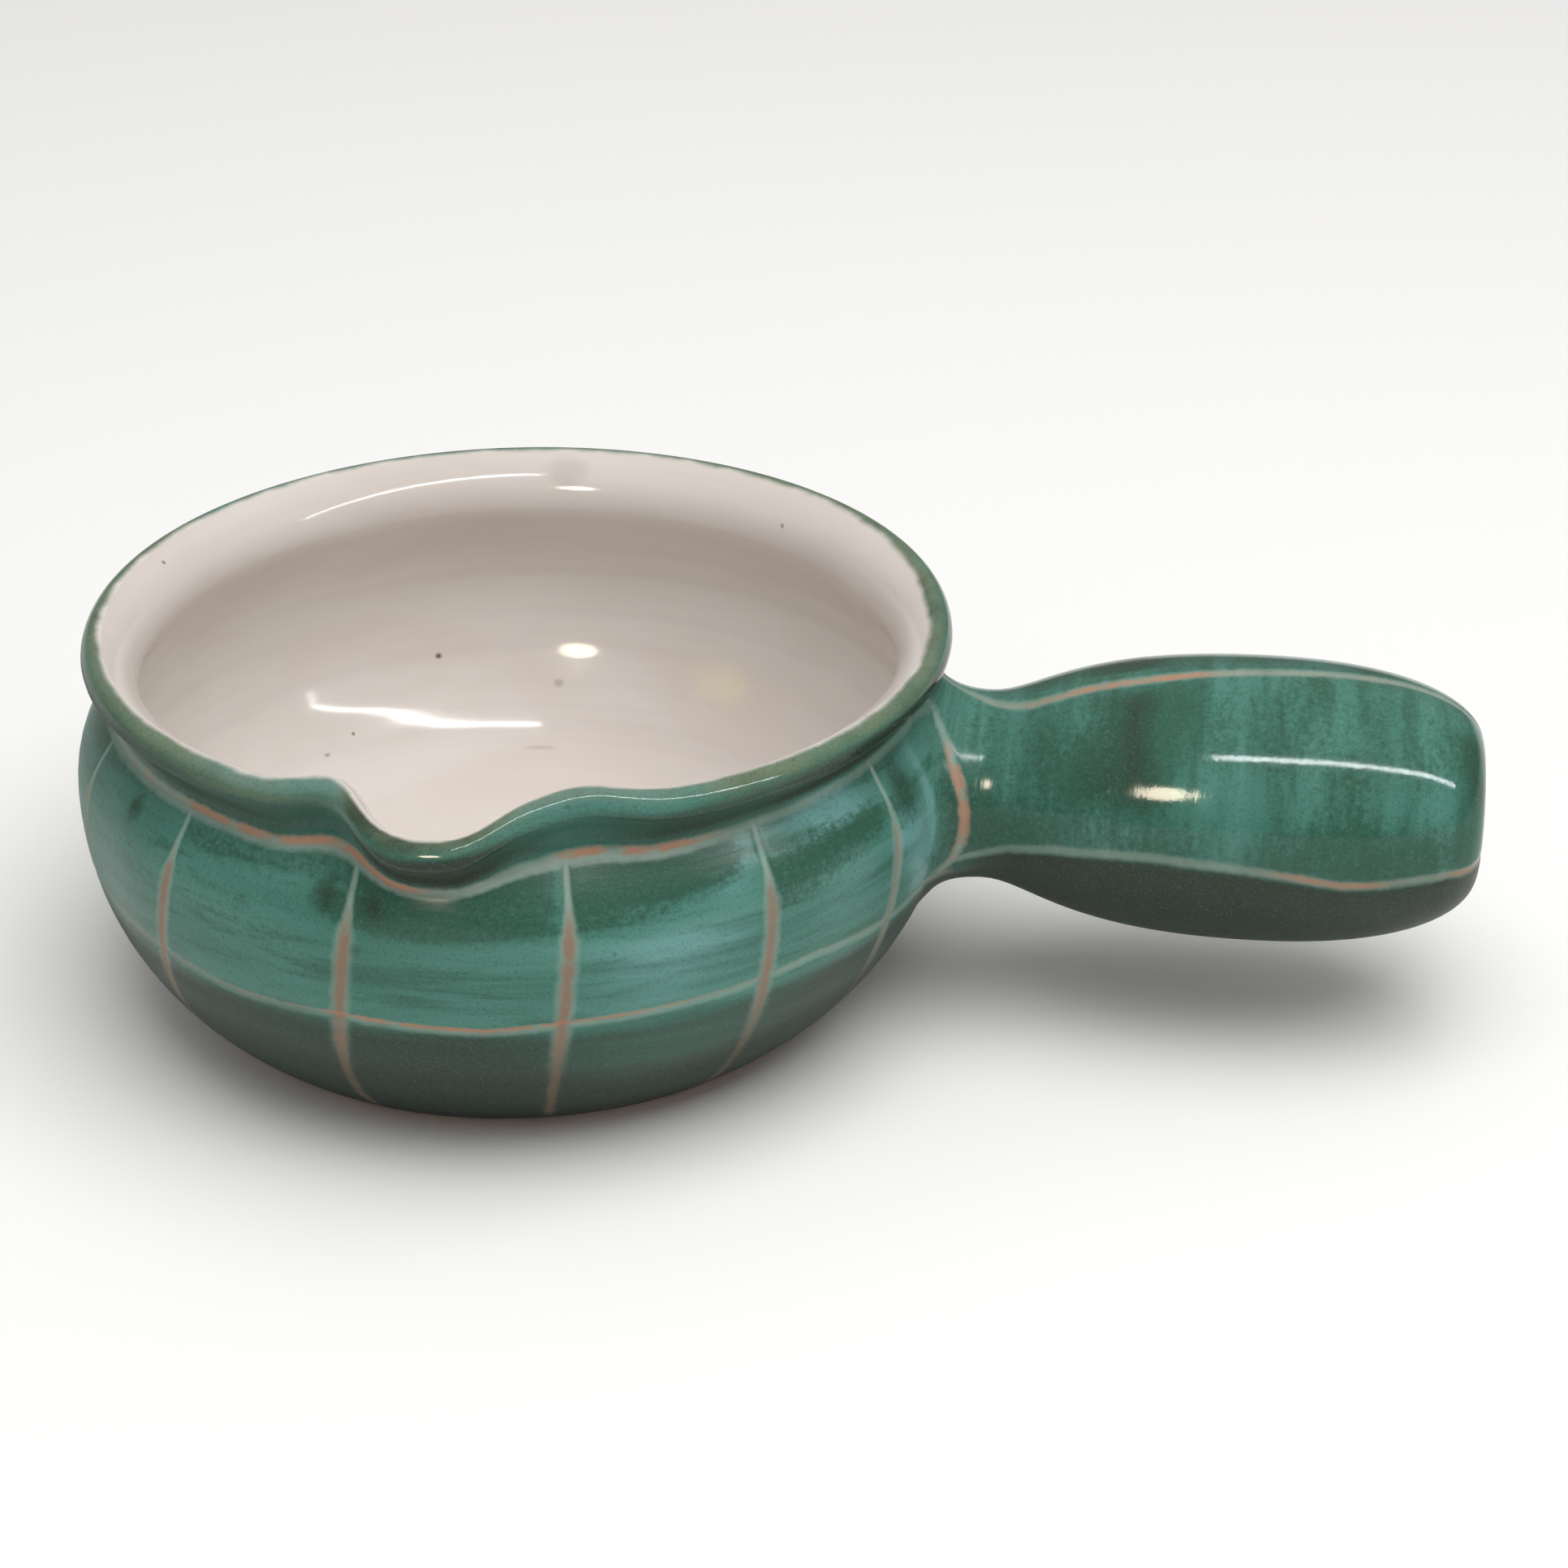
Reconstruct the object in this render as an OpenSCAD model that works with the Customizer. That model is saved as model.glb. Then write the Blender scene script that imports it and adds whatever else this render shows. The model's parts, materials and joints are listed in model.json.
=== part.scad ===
// Casserole dish in glazed red earthenware: a thrown bowl with a pulled pouring lip,
// a hollow thrown handle luted to its side, a white glaze inside and a green glaze outside.
// Millimetres. The foot stands on z = 0 at the origin, the handle points along +X, the lip pours to -Y.

/* [Bowl] */
// Height of the lip's crest above the table
bowl_h = 70; // [62:1:90]
// Radius of the flat foot
foot_r = 53.5; // [44:0.5:64]
// Radius of the belly at its widest ring
belly_r = 77; // [72:0.5:95]
// Height of the belly's widest ring
belly_z = 43; // [36:0.5:46]
// Radius of the groove under the lip
neck_r = 70.3; // [60:0.1:71]
// Drop from the crest to the bottom of that groove
neck_drop = 9; // [8:0.5:12]
// Radius of the lip at its widest
rim_r = 75; // [70:0.5:90]
// Width of the rounded lip
lip_w = 5.1; // [4:0.1:7]
// Height of the lip's rounding
lip_rise = 3.4; // [2:0.1:4.5]
// Thickness of the glazed wall at the belly
wall = 5; // [4:0.1:7]
// Thickness of the glazed wall at the groove under the lip
neck_wall = 4.7; // [3:0.1:6]
// Thickness of the glazed floor
floor_t = 6; // [4:0.1:9]
// Radius of the flat part of the floor
floor_r = 38; // [25:0.5:45]
// How far the crest leans towards the handle, off the foot's axis
lean = 1.5; // [0:0.1:3]

/* [Pouring lip] */
// How far the lip is pulled out at the spout
spout_out = 5.5; // [2:0.1:8]
// How far the lip is pulled down at the spout
spout_drop = 3.5; // [1:0.1:6]
// Half-width of the spout in degrees round the bowl
spout_half = 8.6; // [6:0.1:10]
// How far the lip is pressed in on each side of the spout
pinch_in = 3; // [0:0.1:5]
// How far the lip rises on each side of the spout
pinch_up = 1.2; // [0:0.1:2]
// Place of the pressed side nearer the handle, in degrees from the spout
near_pinch_at = 19.5; // [16:0.5:24]
// Half-width of that side in degrees
near_pinch_half = 7; // [5:0.1:9]
// Place of the pressed side away from the handle, in degrees from the spout
far_pinch_at = 14.5; // [12:0.5:18]
// Half-width of that side in degrees
far_pinch_half = 5; // [4:0.1:7]
// Height where the wall starts to follow the spout
spout_foot_z = 43; // [30:1:50]

/* [Handle] */
// Height of the handle's axis
handle_z = 41; // [33:0.1:44]
// Distance from the belly's widest ring to the handle's narrow neck
handle_neck_out = 6.2; // [4:0.1:10]
// Radius of the handle's narrow neck
handle_neck_r = 16.4; // [13:0.1:21]
// Distance from the neck to the thickest part of the grip
grip_run = 46.3; // [40:0.1:70]
// Radius of the grip at its thickest
grip_r = 24.7; // [20:0.1:28]
// Distance from the thickest part to the end
end_run = 38.5; // [28:0.5:50]
// Radius where the rounded end meets the rim of the mouth
end_r = 10; // [9:0.1:14.5]
// Radius of the round mouth in the end
mouth_r = 6.5; // [5:0.1:7]
// Length of the straight wall of the mouth
mouth_len = 5; // [4:0.5:8]
// Bare ring between the mouth and the edge of the glaze
mouth_bare = 1; // [0.5:0.1:2]
// Thickness of the handle's clay wall
handle_wall = 4.5; // [3.5:0.1:5.5]
// Reach of the flare at the root along the handle
flare_run = 15; // [12:0.5:16]
// Rise of the flare at the root
flare_rise = 9; // [6:0.5:10]

/* [Glaze and slip] */
// Thickness of both glaze coats
glaze_t = 0.5; // [0.3:0.05:0.8]
// Bare band between the table and the edge of the green glaze
bare_foot = 2; // [1:0.1:4]
// Edge of the green glaze, in degrees past the crest towards the inside
glaze_edge = 25; // [0:1:70]
// Thickness of the slip between the handle's root and the bowl
slip_t = 0.5; // [0.3:0.05:1]
// Depth of the step at the handle's root that the clay coil fills
root_step = 1; // [0.5:0.1:2]

/* [Scratched lines] */
// Half-width of a scratched line
line_half = 0.8; // [0.5:0.05:1.2]
// Depth of a scratched line in the glaze
line_depth = 0.3; // [0.1:0.05:0.45]
// Height of the lower ring line
lower_line_z = 31.5; // [20:0.5:36]
// Drop from the crest to the upper ring line
upper_line_drop = 10.7; // [10:0.1:13]

/* [Hidden] */
$fn = 96;
clay_colour = "#b5653f";
slip_colour = "#a85a37";
white_colour = "#d9cdc6";
green_colour = "#3f7a6c";

// The upright lines are scratched by eye, so their spacing is uneven (degrees, spout at -90).
upright_lines = [-153, -129, -102, -75, -48, -26, -5, 20, 46, 72, 98, 124, 150, 177];
// Lines along the handle, in degrees above the horizontal on the spout's side.
handle_lines = [-95, -4, 82, 172];

spout_angle = -91;
neck_z = bowl_h - neck_drop;
lip_z = bowl_h - lip_rise;
lip_mid_r = rim_r - lip_w / 2;
upper_line_z = bowl_h - upper_line_drop;
neck_x = belly_r + handle_neck_out;
grip_x = neck_x + grip_run;
end_x = grip_x + end_run;
flare_x = neck_x - flare_run;
mouth_back_x = end_x - mouth_len;
overlap = 1;
// The flare turns this far, in degrees, then carries on straight into the wall, where the bowl cuts it off.
flare_turn = 75;
root_x = flare_x - 6;
// How far the grip's curve keeps straight at the neck and at the thickest part
waist_pull = 8;
grip_pull = 32.5;
// Power of the end's rounding: 2 is an ellipse, and more is squarer
end_power = 2.3;
// Turn of a line scratched along the grip
line_turn = 2 * line_half / grip_r * 180 / PI;

// Curves
function bezier(p, t) =
    let (u = 1 - t) u*u*u * p[0] + 3*u*u*t * p[1] + 3*u*t*t * p[2] + t*t*t * p[3];
function curve(p, n) = [for (i = [0 : n - 1]) bezier(p, i / n)];
// The parameter at which a rising curve reaches height z.
function rise_to(p, z, lo = 0, hi = 1, tries = 24) =
    let (mid = (lo + hi) / 2)
    tries == 0 ? mid
    : bezier(p, mid)[1] < z ? rise_to(p, z, mid, hi, tries - 1) : rise_to(p, z, lo, mid, tries - 1);
function smooth_step(lo, hi, v) =
    let (t = max(0, min(1, (v - lo) / (hi - lo)))) t * t * (3 - 2 * t);
function reversed(list) = [for (i = [len(list) - 1 : -1 : 0]) list[i]];
function slice(list, first, last) = [for (i = [first : last]) list[i]];

// Bowl section, as [radius, height] from the edge of the glaze at the foot, over the lip, to the floor
// The wall leaves the foot at this slope, in degrees, and each curve holds its end direction for its pull.
foot_slope = 33;
foot_pull = 17.5;
shoulder_h = neck_z - belly_z;
shoulder_pull = 0.6 * shoulder_h;
neck_pull = 0.25 * shoulder_h;
lip_pull = 0.25 * (lip_z - neck_z);
floor_pull = 0.58;
inside_pull = 0.33;
body_curve = [
    [foot_r, 0], [foot_r + foot_pull * cos(foot_slope), foot_pull * sin(foot_slope)],
    [belly_r, belly_z - foot_pull], [belly_r, belly_z]
];
shoulder_curve = [
    [belly_r, belly_z], [belly_r, belly_z + shoulder_pull],
    [neck_r, neck_z - neck_pull], [neck_r, neck_z]
];
under_lip_curve = [
    [neck_r, neck_z], [neck_r, neck_z + lip_pull], [rim_r, lip_z - lip_pull], [rim_r, lip_z]
];
inner_neck_r = neck_r - neck_wall;
inner_belly_r = belly_r - wall;
// The inside of the lip leaves the edge of the green glaze along the lip's rounding.
function lip_point(a) = [lip_mid_r + lip_w / 2 * cos(a), lip_z + lip_rise * sin(a)];
edge_angle = 90 + glaze_edge;
edge_way = [-lip_w / 2 * sin(edge_angle), lip_rise * cos(edge_angle)];
inner_lip_pull = 5;
inner_neck_pull = 3;
inner_lip_curve = [
    lip_point(edge_angle), lip_point(edge_angle) + inner_lip_pull * edge_way / norm(edge_way),
    [inner_neck_r, neck_z + inner_neck_pull], [inner_neck_r, neck_z]
];
inner_shoulder_curve = [
    [inner_neck_r, neck_z], [inner_neck_r, neck_z - neck_pull],
    [inner_belly_r, belly_z + shoulder_pull], [inner_belly_r, belly_z]
];
inner_body_curve = [
    [inner_belly_r, belly_z], [inner_belly_r, belly_z - inside_pull * (belly_z - floor_t)],
    [floor_r + floor_pull * (inner_belly_r - floor_r), floor_t], [floor_r, floor_t]
];
function line_rows(p, z) = [for (d = [-line_half, 0, line_half]) bezier(p, rise_to(p, z + d))];
function rows_between(p, z0, z1, n) =
    let (t0 = rise_to(p, z0), t1 = rise_to(p, z1))
    [for (i = [1 : n]) bezier(p, t0 + (t1 - t0) * i / (n + 1))];

outer_rows = concat(
    [bezier(body_curve, rise_to(body_curve, bare_foot))],
    rows_between(body_curve, bare_foot, lower_line_z - line_half, 4),
    line_rows(body_curve, lower_line_z),
    rows_between(body_curve, lower_line_z + line_half, belly_z, 1),
    [[belly_r, belly_z]],
    rows_between(shoulder_curve, belly_z, upper_line_z - line_half, 3),
    line_rows(shoulder_curve, upper_line_z),
    curve(under_lip_curve, 3),
    [for (a = [0 : 30 : 90]) lip_point(a)],
    [lip_point(edge_angle)]
);
inner_rows = concat(
    [for (i = [1 : 3]) bezier(inner_lip_curve, i / 4)],
    curve(inner_shoulder_curve, 3),
    curve(inner_body_curve, 5),
    [[floor_r, floor_t]]
);
section = concat(outer_rows, inner_rows);
edge_row = len(outer_rows) - 1;
last_row = len(section) - 1;

// Moves each row of the section inwards, square to the curve.
function inset(rows, d) = [for (i = [0 : len(rows) - 1])
    let (along = rows[min(i + 1, len(rows) - 1)] - rows[max(i - 1, 0)])
    rows[i] - d * [along[1], -along[0]] / norm(along)];
clay_section = inset(section, glaze_t);

// Round the bowl: three columns at each upright line, and more where the spout bends the lip
function gap_columns(mid) =
    let (off = abs(mid - spout_angle)) off < 15 ? 8 : off < 35 ? 6 : 3;
column_half = line_half / belly_r * 180 / PI;
columns = [for (k = [0 : len(upright_lines) - 1])
    let (
        a = upright_lines[k],
        b = k + 1 < len(upright_lines) ? upright_lines[k + 1] : upright_lines[0] + 360,
        n = gap_columns((a + b) / 2)
    )
    each concat(
        [[a - column_half, 0], [a, 1], [a + column_half, 0]],
        [for (i = [1 : n]) [a + column_half + (b - a - 2 * column_half) * i / (n + 1), 0]]
    )];
// Fewer columns for the mass that only shapes the handle's seat
seat_columns = [for (c = columns) if (abs(c[0]) < 50 || c[1] == 1) c];

// Where a point of the section lies at angle a, after the lip is pulled and the rim has leaned.
function thrown(p, a) =
    let (
        turn = a - spout_angle > 180 ? a - spout_angle - 360 : a - spout_angle,
        off = abs(turn),
        side = turn > 0 ? (off - near_pinch_at) / near_pinch_half : (off - far_pinch_at) / far_pinch_half,
        follow = smooth_step(spout_foot_z, bowl_h - lip_rise, p[1]),
        pull = exp(-pow(off / spout_half, 3)),
        pinch = exp(-side * side),
        r = p[0] + follow * (spout_out * pull - pinch_in * pinch),
        z = p[1] + follow * (pinch_up * pinch - spout_drop * pull)
    )
    [r * cos(a) + lean * p[1] / bowl_h, r * sin(a), z];

// How deep the scratched lines cut the glaze at a row and a column.
function on_line(p, is_upright) =
    p[1] > upper_line_z + 0.01 ? 0
    : is_upright || abs(p[1] - upper_line_z) < 0.01 || abs(p[1] - lower_line_z) < 0.01 ? line_depth : 0;
function scratched(rows, column) = let (cut = inset(rows, line_depth))
    [for (i = [0 : len(rows) - 1]) on_line(rows[i], column[1] == 1) > 0 ? cut[i] : rows[i]];

// One quad of the skin as two triangles. The backs of the coats split the other way, so that they
// match the clay facet for facet.
function quad(a, b, c, d, back) = back ? [[a, d, b], [b, d, c]] : [[a, d, c], [a, c, b]];
function skin(n_rows, n_cols, closed, back_from, back_to) = [
    for (i = [0 : n_cols - 1]) for (j = [0 : n_rows - (closed ? 1 : 2)])
        let (k = (i + 1) % n_cols, m = (j + 1) % n_rows)
        each quad(i * n_rows + j, k * n_rows + j, k * n_rows + m, i * n_rows + m,
                  j >= back_from && j < back_to)
];

// A turned solid that closes on the axis at both ends, from the low pole to the high pole.
module turned(rows, cols, low_z, high_z, back_to = 0) {
    n = len(rows);
    points = concat(
        [for (c = cols) for (p = rows) thrown(p, c[0])],
        [thrown([0, low_z], 0), thrown([0, high_z], 0)]
    );
    low = len(cols) * n;
    caps = [for (i = [0 : len(cols) - 1]) let (k = (i + 1) % len(cols))
        each [[low, i * n, k * n], [i * n + n - 1, low + 1, k * n + n - 1]]];
    polyhedron(points, concat(skin(n, len(cols), false, 0, back_to), caps));
}

// A turned ring: a coat with a face and a back that meet at both edges.
module turned_coat(back_rows, cols) {
    n = len(back_rows);
    points = [for (c = cols)
        each concat([for (p = scratched(slice(section, 0, n - 1), c)) thrown(p, c[0])],
                    [for (p = reversed(back_rows)) thrown(p, c[0])])];
    polyhedron(points, skin(2 * n, len(cols), true, n, 2 * n - 1));
}

// The bowl as a filled mass, grown past its clay by d, to cut what sits against it. It stands on above
// the crest, so that nothing is left over the mouth.
module bowl_mass(d) {
    wall_rows = slice(inset(section, glaze_t - d), 0, edge_row - 1);
    top_z = bowl_h + grip_r;
    rows = concat([[foot_r, 0]], wall_rows, [[lip_mid_r, top_z]]);
    turned(rows, seat_columns, 0, top_z);
}

// Handle sections, as [radius, distance along +X], from the root buried in the wall to the rim of the mouth
grip_curve = [
    [handle_neck_r, neck_x], [handle_neck_r, neck_x + waist_pull],
    [grip_r, grip_x - grip_pull], [grip_r, grip_x]
];
function end_point(a) = [
    end_r + (grip_r - end_r) * pow(sin(a), 2 / end_power), grip_x + end_run * pow(cos(a), 2 / end_power)
];
grip_rows = concat(curve(grip_curve, 14), [for (a = [90 : -7.5 : 0]) end_point(a)]);
function flare_point(a) = [handle_neck_r + flare_rise * (1 - cos(a)), neck_x - flare_run * sin(a)];
flare_rows = concat(
    [[flare_point(flare_turn)[0], root_x]],
    [for (a = [flare_turn : -7.5 : 7.5]) flare_point(a)]
);
coat_rows = concat(flare_rows, grip_rows);
coat_back_rows = inset(coat_rows, glaze_t);
n_flare = len(flare_rows);
root_r = handle_neck_r - glaze_t - root_step;
hollow_rows = [for (p = inset(grip_rows, glaze_t + handle_wall)) if (p[1] < mouth_back_x - overlap) p];
root_hollow_r = hollow_rows[0][0];
mouth_edge_r = mouth_r + mouth_bare;

// Turns a section about the handle's axis; a part turn starts at angle e above the spout's side.
module along_handle(e = -90, angle = 360) {
    translate([0, 0, handle_z])
    rotate([0, 90, 0])
    rotate([0, 0, -90 - e])
    rotate_extrude(angle = angle) children();
}

module bowl() {
    color(clay_colour)
    turned(concat([[foot_r - glaze_t, 0]], clay_section), columns, 0, floor_t - glaze_t);
}

module inner_glaze() {
    face = slice(section, edge_row, last_row);
    back = reversed(slice(clay_section, edge_row, last_row));
    color(white_colour)
    turned(concat(back, face), columns, floor_t - glaze_t, floor_t, back_to = len(back) - 1);
}

module bowl_glaze() {
    color(green_colour)
    difference() {
        turned_coat(slice(clay_section, 0, edge_row), columns);
        along_handle() polygon(concat([[0, root_x]], coat_rows, [[0, end_x]]));
    }
}

// The thrown handle: a hollow tube, open at the mouth, its root cut to the bowl's curve.
module handle() {
    color(clay_colour)
    difference() {
        along_handle() polygon(concat(
            [[root_r, root_x], [root_r, neck_x]],
            slice(coat_back_rows, n_flare, len(coat_back_rows) - 1),
            [[mouth_r, end_x - glaze_t], [mouth_r, mouth_back_x]],
            [[hollow_rows[len(hollow_rows) - 1][0], mouth_back_x]],
            reversed(hollow_rows),
            [[root_hollow_r, root_x]]
        ));
        bowl_mass(slip_t);
    }
}

// The slip under the handle's root, and the clay coil smoothed round it.
module handle_joint() {
    color(slip_colour)
    difference() {
        union() {
            along_handle() polygon(concat(
                slice(coat_back_rows, 0, n_flare),
                [[root_r, neck_x], [root_r, root_x]]
            ));
            intersection() {
                along_handle() polygon([
                    [root_hollow_r, root_x], [root_r, root_x], [root_r, neck_x], [root_hollow_r, neck_x]
                ]);
                bowl_mass(slip_t);
            }
        }
        bowl_mass(0);
    }
}

module handle_glaze() {
    color(green_colour)
    difference() {
        along_handle() polygon(concat(
            coat_rows,
            [[mouth_edge_r, end_x], [mouth_edge_r, end_x - glaze_t]],
            reversed(coat_back_rows)
        ));
        for (e = handle_lines) along_handle(e, line_turn) polygon(concat(
            inset(grip_rows, line_depth),
            reversed(inset(grip_rows, -overlap))
        ));
        bowl_mass(0);
    }
}

bowl();
inner_glaze();
bowl_glaze();
handle();
handle_joint();
handle_glaze();
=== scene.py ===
import json
import math
from bisect import bisect_right

import bmesh
import bpy
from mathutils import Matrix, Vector, noise

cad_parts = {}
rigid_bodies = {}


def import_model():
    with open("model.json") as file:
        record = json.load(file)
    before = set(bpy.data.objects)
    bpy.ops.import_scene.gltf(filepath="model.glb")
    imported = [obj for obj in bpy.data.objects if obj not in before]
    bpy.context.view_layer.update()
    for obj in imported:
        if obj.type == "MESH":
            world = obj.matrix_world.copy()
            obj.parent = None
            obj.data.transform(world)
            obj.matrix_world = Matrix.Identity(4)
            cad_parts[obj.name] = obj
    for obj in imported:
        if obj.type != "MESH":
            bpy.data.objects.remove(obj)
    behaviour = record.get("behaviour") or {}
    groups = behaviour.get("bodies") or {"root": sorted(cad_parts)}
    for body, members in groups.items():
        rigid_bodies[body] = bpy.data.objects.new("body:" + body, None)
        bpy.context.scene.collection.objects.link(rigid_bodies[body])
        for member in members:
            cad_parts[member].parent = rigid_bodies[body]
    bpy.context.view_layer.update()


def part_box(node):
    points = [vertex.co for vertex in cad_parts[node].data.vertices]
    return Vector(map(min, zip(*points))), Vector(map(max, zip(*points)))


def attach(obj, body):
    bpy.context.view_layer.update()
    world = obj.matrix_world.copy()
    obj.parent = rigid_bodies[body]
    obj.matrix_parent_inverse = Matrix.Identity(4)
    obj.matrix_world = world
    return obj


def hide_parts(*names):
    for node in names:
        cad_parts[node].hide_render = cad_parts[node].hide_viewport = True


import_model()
mm = 0.001

coatLow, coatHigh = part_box("bowl_glaze")
gripLow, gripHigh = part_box("handle_glaze")
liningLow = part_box("inner_glaze")[0]

# sizes in millimetres and degrees; the frame gives those that its boxes hold
bowlForm = {
    "height": 70.0, "footR": 53.5, "bellyR": coatHigh.y / mm - 0.08, "bellyZ": 43.0,
    "neckR": 70.3, "neckDrop": 9.0, "rimR": 75.0, "lipW": 5.1, "lipRise": 3.4,
    "wall": 5.0, "neckWall": 4.7, "floorR": 38.0, "lean": 1.5, "glaze": 0.5,
    "footSlope": 33.0, "footPull": 17.5, "lipPull": 1.4, "inLipPull": 5.0, "inNeckPull": 3.0,
    "bellyPull": 0.6, "neckPull": 0.25, "floorDrop": 0.33, "floorReach": 0.58,
    "glazeEdge": 115.0, "lipStep": 5, "lipParts": 12,
}
bowlForm["floorZ"] = liningLow.z / mm + bowlForm["glaze"]
bowlForm["bareFoot"] = coatLow.z / mm

spoutForm = {
    "angle": -91.0, "out": 5.48, "drop": 3.5, "half": 8.6, "pinchIn": 3.0, "pinchUp": 1.2,
    "nearAt": 19.5, "nearHalf": 7.0, "farAt": 14.5, "farHalf": 5.0, "footZ": 43.0,
}

handleForm = {
    "endX": gripHigh.x / mm - 0.01, "gripR": (gripHigh.y - gripLow.y) / 2 / mm,
    "axisZ": (gripHigh.z + gripLow.z) / 2 / mm, "endRun": 38.5, "gripRun": 46.3,
    "neckR": 16.4, "endR": 10.0, "endPower": 2.3, "coatEdge": 7.5,
    "mouthR": 6.5, "mouthLen": 5.0, "wall": 4.5, "neckPull": 8.0, "gripPull": 32.5, "curveSteps": 60,
    "rootR": 23.5, "rootTopZ": 63.5, "rootSink": 0.15, "rootLevel": 0.05, "rootSoft": 2.0, "rootRise": 0.35,
    "flareRun": 15.0, "flareRise": 9.0, "flareTurn": 75.0, "rootBlend": 6.0, "topBlend": 4.0,
}
handleForm["gripX"] = handleForm["endX"] - handleForm["endRun"]
handleForm["neckX"] = handleForm["gripX"] - handleForm["gripRun"]


def clamp(v, low=0.0, high=1.0):
    return max(low, min(high, v))


def smoothStep(low, high, v):
    t = clamp((v - low) / (high - low))
    return t * t * (3 - 2 * t)


# smoothStep over a span that is given from a base
def stepPast(base, span, v):
    return smoothStep(base + span[0], base + span[1], v)


def bell(x):
    return math.exp(-x * x)


def wrapped(angle):
    return (angle + 180) % 360 - 180


# noise that closes on itself round the bowl
def noiseRound(angle, scale, layer):
    a = math.radians(angle)
    return noise.noise(Vector((math.cos(a) * scale, math.sin(a) * scale, layer)))


def bezier(p, t):
    u = 1 - t
    return tuple(u**3 * a + 3 * u * u * t * b + 3 * u * t * t * c + t**3 * d for a, b, c, d in zip(*p))


def curve(p, steps=40):
    return [bezier(p, i / steps) for i in range(steps)]


# value at x on a list of (x, value) pairs, straight between them
def along(pairs, x):
    for (xa, va), (xb, vb) in zip(pairs, pairs[1:]):
        if x <= xb:
            return va + (vb - va) * clamp((x - xa) / (xb - xa))
    return pairs[-1][1]


def runLengths(points):
    run = [0.0]
    for a, b in zip(points, points[1:]):
        run.append(run[-1] + math.dist(a, b))
    return run


def pointAt(points, run, s):
    i = max(0, min(len(run) - 2, bisect_right(run, s) - 1))
    t = (s - run[i]) / (run[i + 1] - run[i])
    return tuple(a + (b - a) * t for a, b in zip(points[i], points[i + 1]))


# rows and columns lie closer across each scratched line, at these distances from it
lineOffsets = [0.35, 0.7, 1.05, 1.5, 2.2]
lineClear = 0.4  # share of a step that even rows keep from them


# row places along a curve: even steps, closer across each line and past fineFrom
def rowPlaces(length, step, lines, fineFrom=None, fineStep=0.8):
    tight = [s + k * o for s in lines for o in [0.0] + lineOffsets for k in (-1, 1)]
    split = length if fineFrom is None else fineFrom
    even = [split * i / round(split / step) for i in range(round(split / step) + 1)]
    if split < length:
        fine = round((length - split) / fineStep)
        even += [split + (length - split) * i / fine for i in range(1, fine + 1)]
    clear = lineOffsets[-1] + step * lineClear
    even = [s for s in even if all(abs(s - m) > clear for m in lines)]
    return sorted(set(round(s, 4) for s in tight + even))


def lipPoint(angle):
    f = bowlForm
    a = math.radians(angle)
    return (f["rimR"] - f["lipW"] / 2 + f["lipW"] / 2 * math.cos(a),
            f["height"] - f["lipRise"] + f["lipRise"] * math.sin(a))


# the lip's section, from its outer side to the edge of the green coat
def lipArc():
    return [lipPoint(a) for a in range(0, int(bowlForm["glazeEdge"]) + 1, bowlForm["lipStep"])]


def bowlCurves():
    f = bowlForm
    slope = math.radians(f["footSlope"])
    neckZ = f["height"] - f["neckDrop"]
    lipZ = f["height"] - f["lipRise"]
    rise = neckZ - f["bellyZ"]
    lowPull, highPull = neckZ + f["lipPull"], lipZ - f["lipPull"]
    bellyPull, neckPull = f["bellyZ"] + f["bellyPull"] * rise, neckZ - f["neckPull"] * rise
    inNeck, inBelly = f["neckR"] - f["neckWall"], f["bellyR"] - f["wall"]
    floorPull = f["floorR"] + f["floorReach"] * (inBelly - f["floorR"])
    wallPull = f["bellyZ"] - f["floorDrop"] * (f["bellyZ"] - f["floorZ"])
    outer = curve([(f["footR"], 0),
                   (f["footR"] + f["footPull"] * math.cos(slope), f["footPull"] * math.sin(slope)),
                   (f["bellyR"], f["bellyZ"] - f["footPull"]), (f["bellyR"], f["bellyZ"])])
    outer += curve([(f["bellyR"], f["bellyZ"]), (f["bellyR"], bellyPull),
                    (f["neckR"], neckPull), (f["neckR"], neckZ)])
    outer += curve([(f["neckR"], neckZ), (f["neckR"], lowPull),
                    (f["rimR"], highPull), (f["rimR"], lipZ)], steps=16)
    outer += lipArc()
    edge, way = math.radians(f["glazeEdge"]), lipPoint(f["glazeEdge"])
    turn = math.atan2(f["lipRise"] * math.cos(edge), -f["lipW"] / 2 * math.sin(edge))
    inner = curve([way, (way[0] + f["inLipPull"] * math.cos(turn), way[1] + f["inLipPull"] * math.sin(turn)),
                   (inNeck, neckZ + f["inNeckPull"]), (inNeck, neckZ)], steps=24)
    inner += curve([(inNeck, neckZ), (inNeck, neckPull), (inBelly, bellyPull), (inBelly, f["bellyZ"])])
    inner += curve([(inBelly, f["bellyZ"]), (inBelly, wallPull),
                    (floorPull, f["floorZ"]), (f["floorR"], f["floorZ"])])
    inner += [(f["floorR"], f["floorZ"]), (0.0, f["floorZ"])]
    return outer, inner


outerCurve, innerCurve = bowlCurves()
coatEnd = runLengths(outerCurve)[-1]
lipStart = coatEnd - runLengths(lipArc())[-1]


# length along the outside up to an angle of the lip's section
def lipRun(angle):
    parts = bowlForm["lipParts"]
    return lipStart + runLengths([lipPoint(angle * i / parts) for i in range(parts + 1)])[-1]


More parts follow.
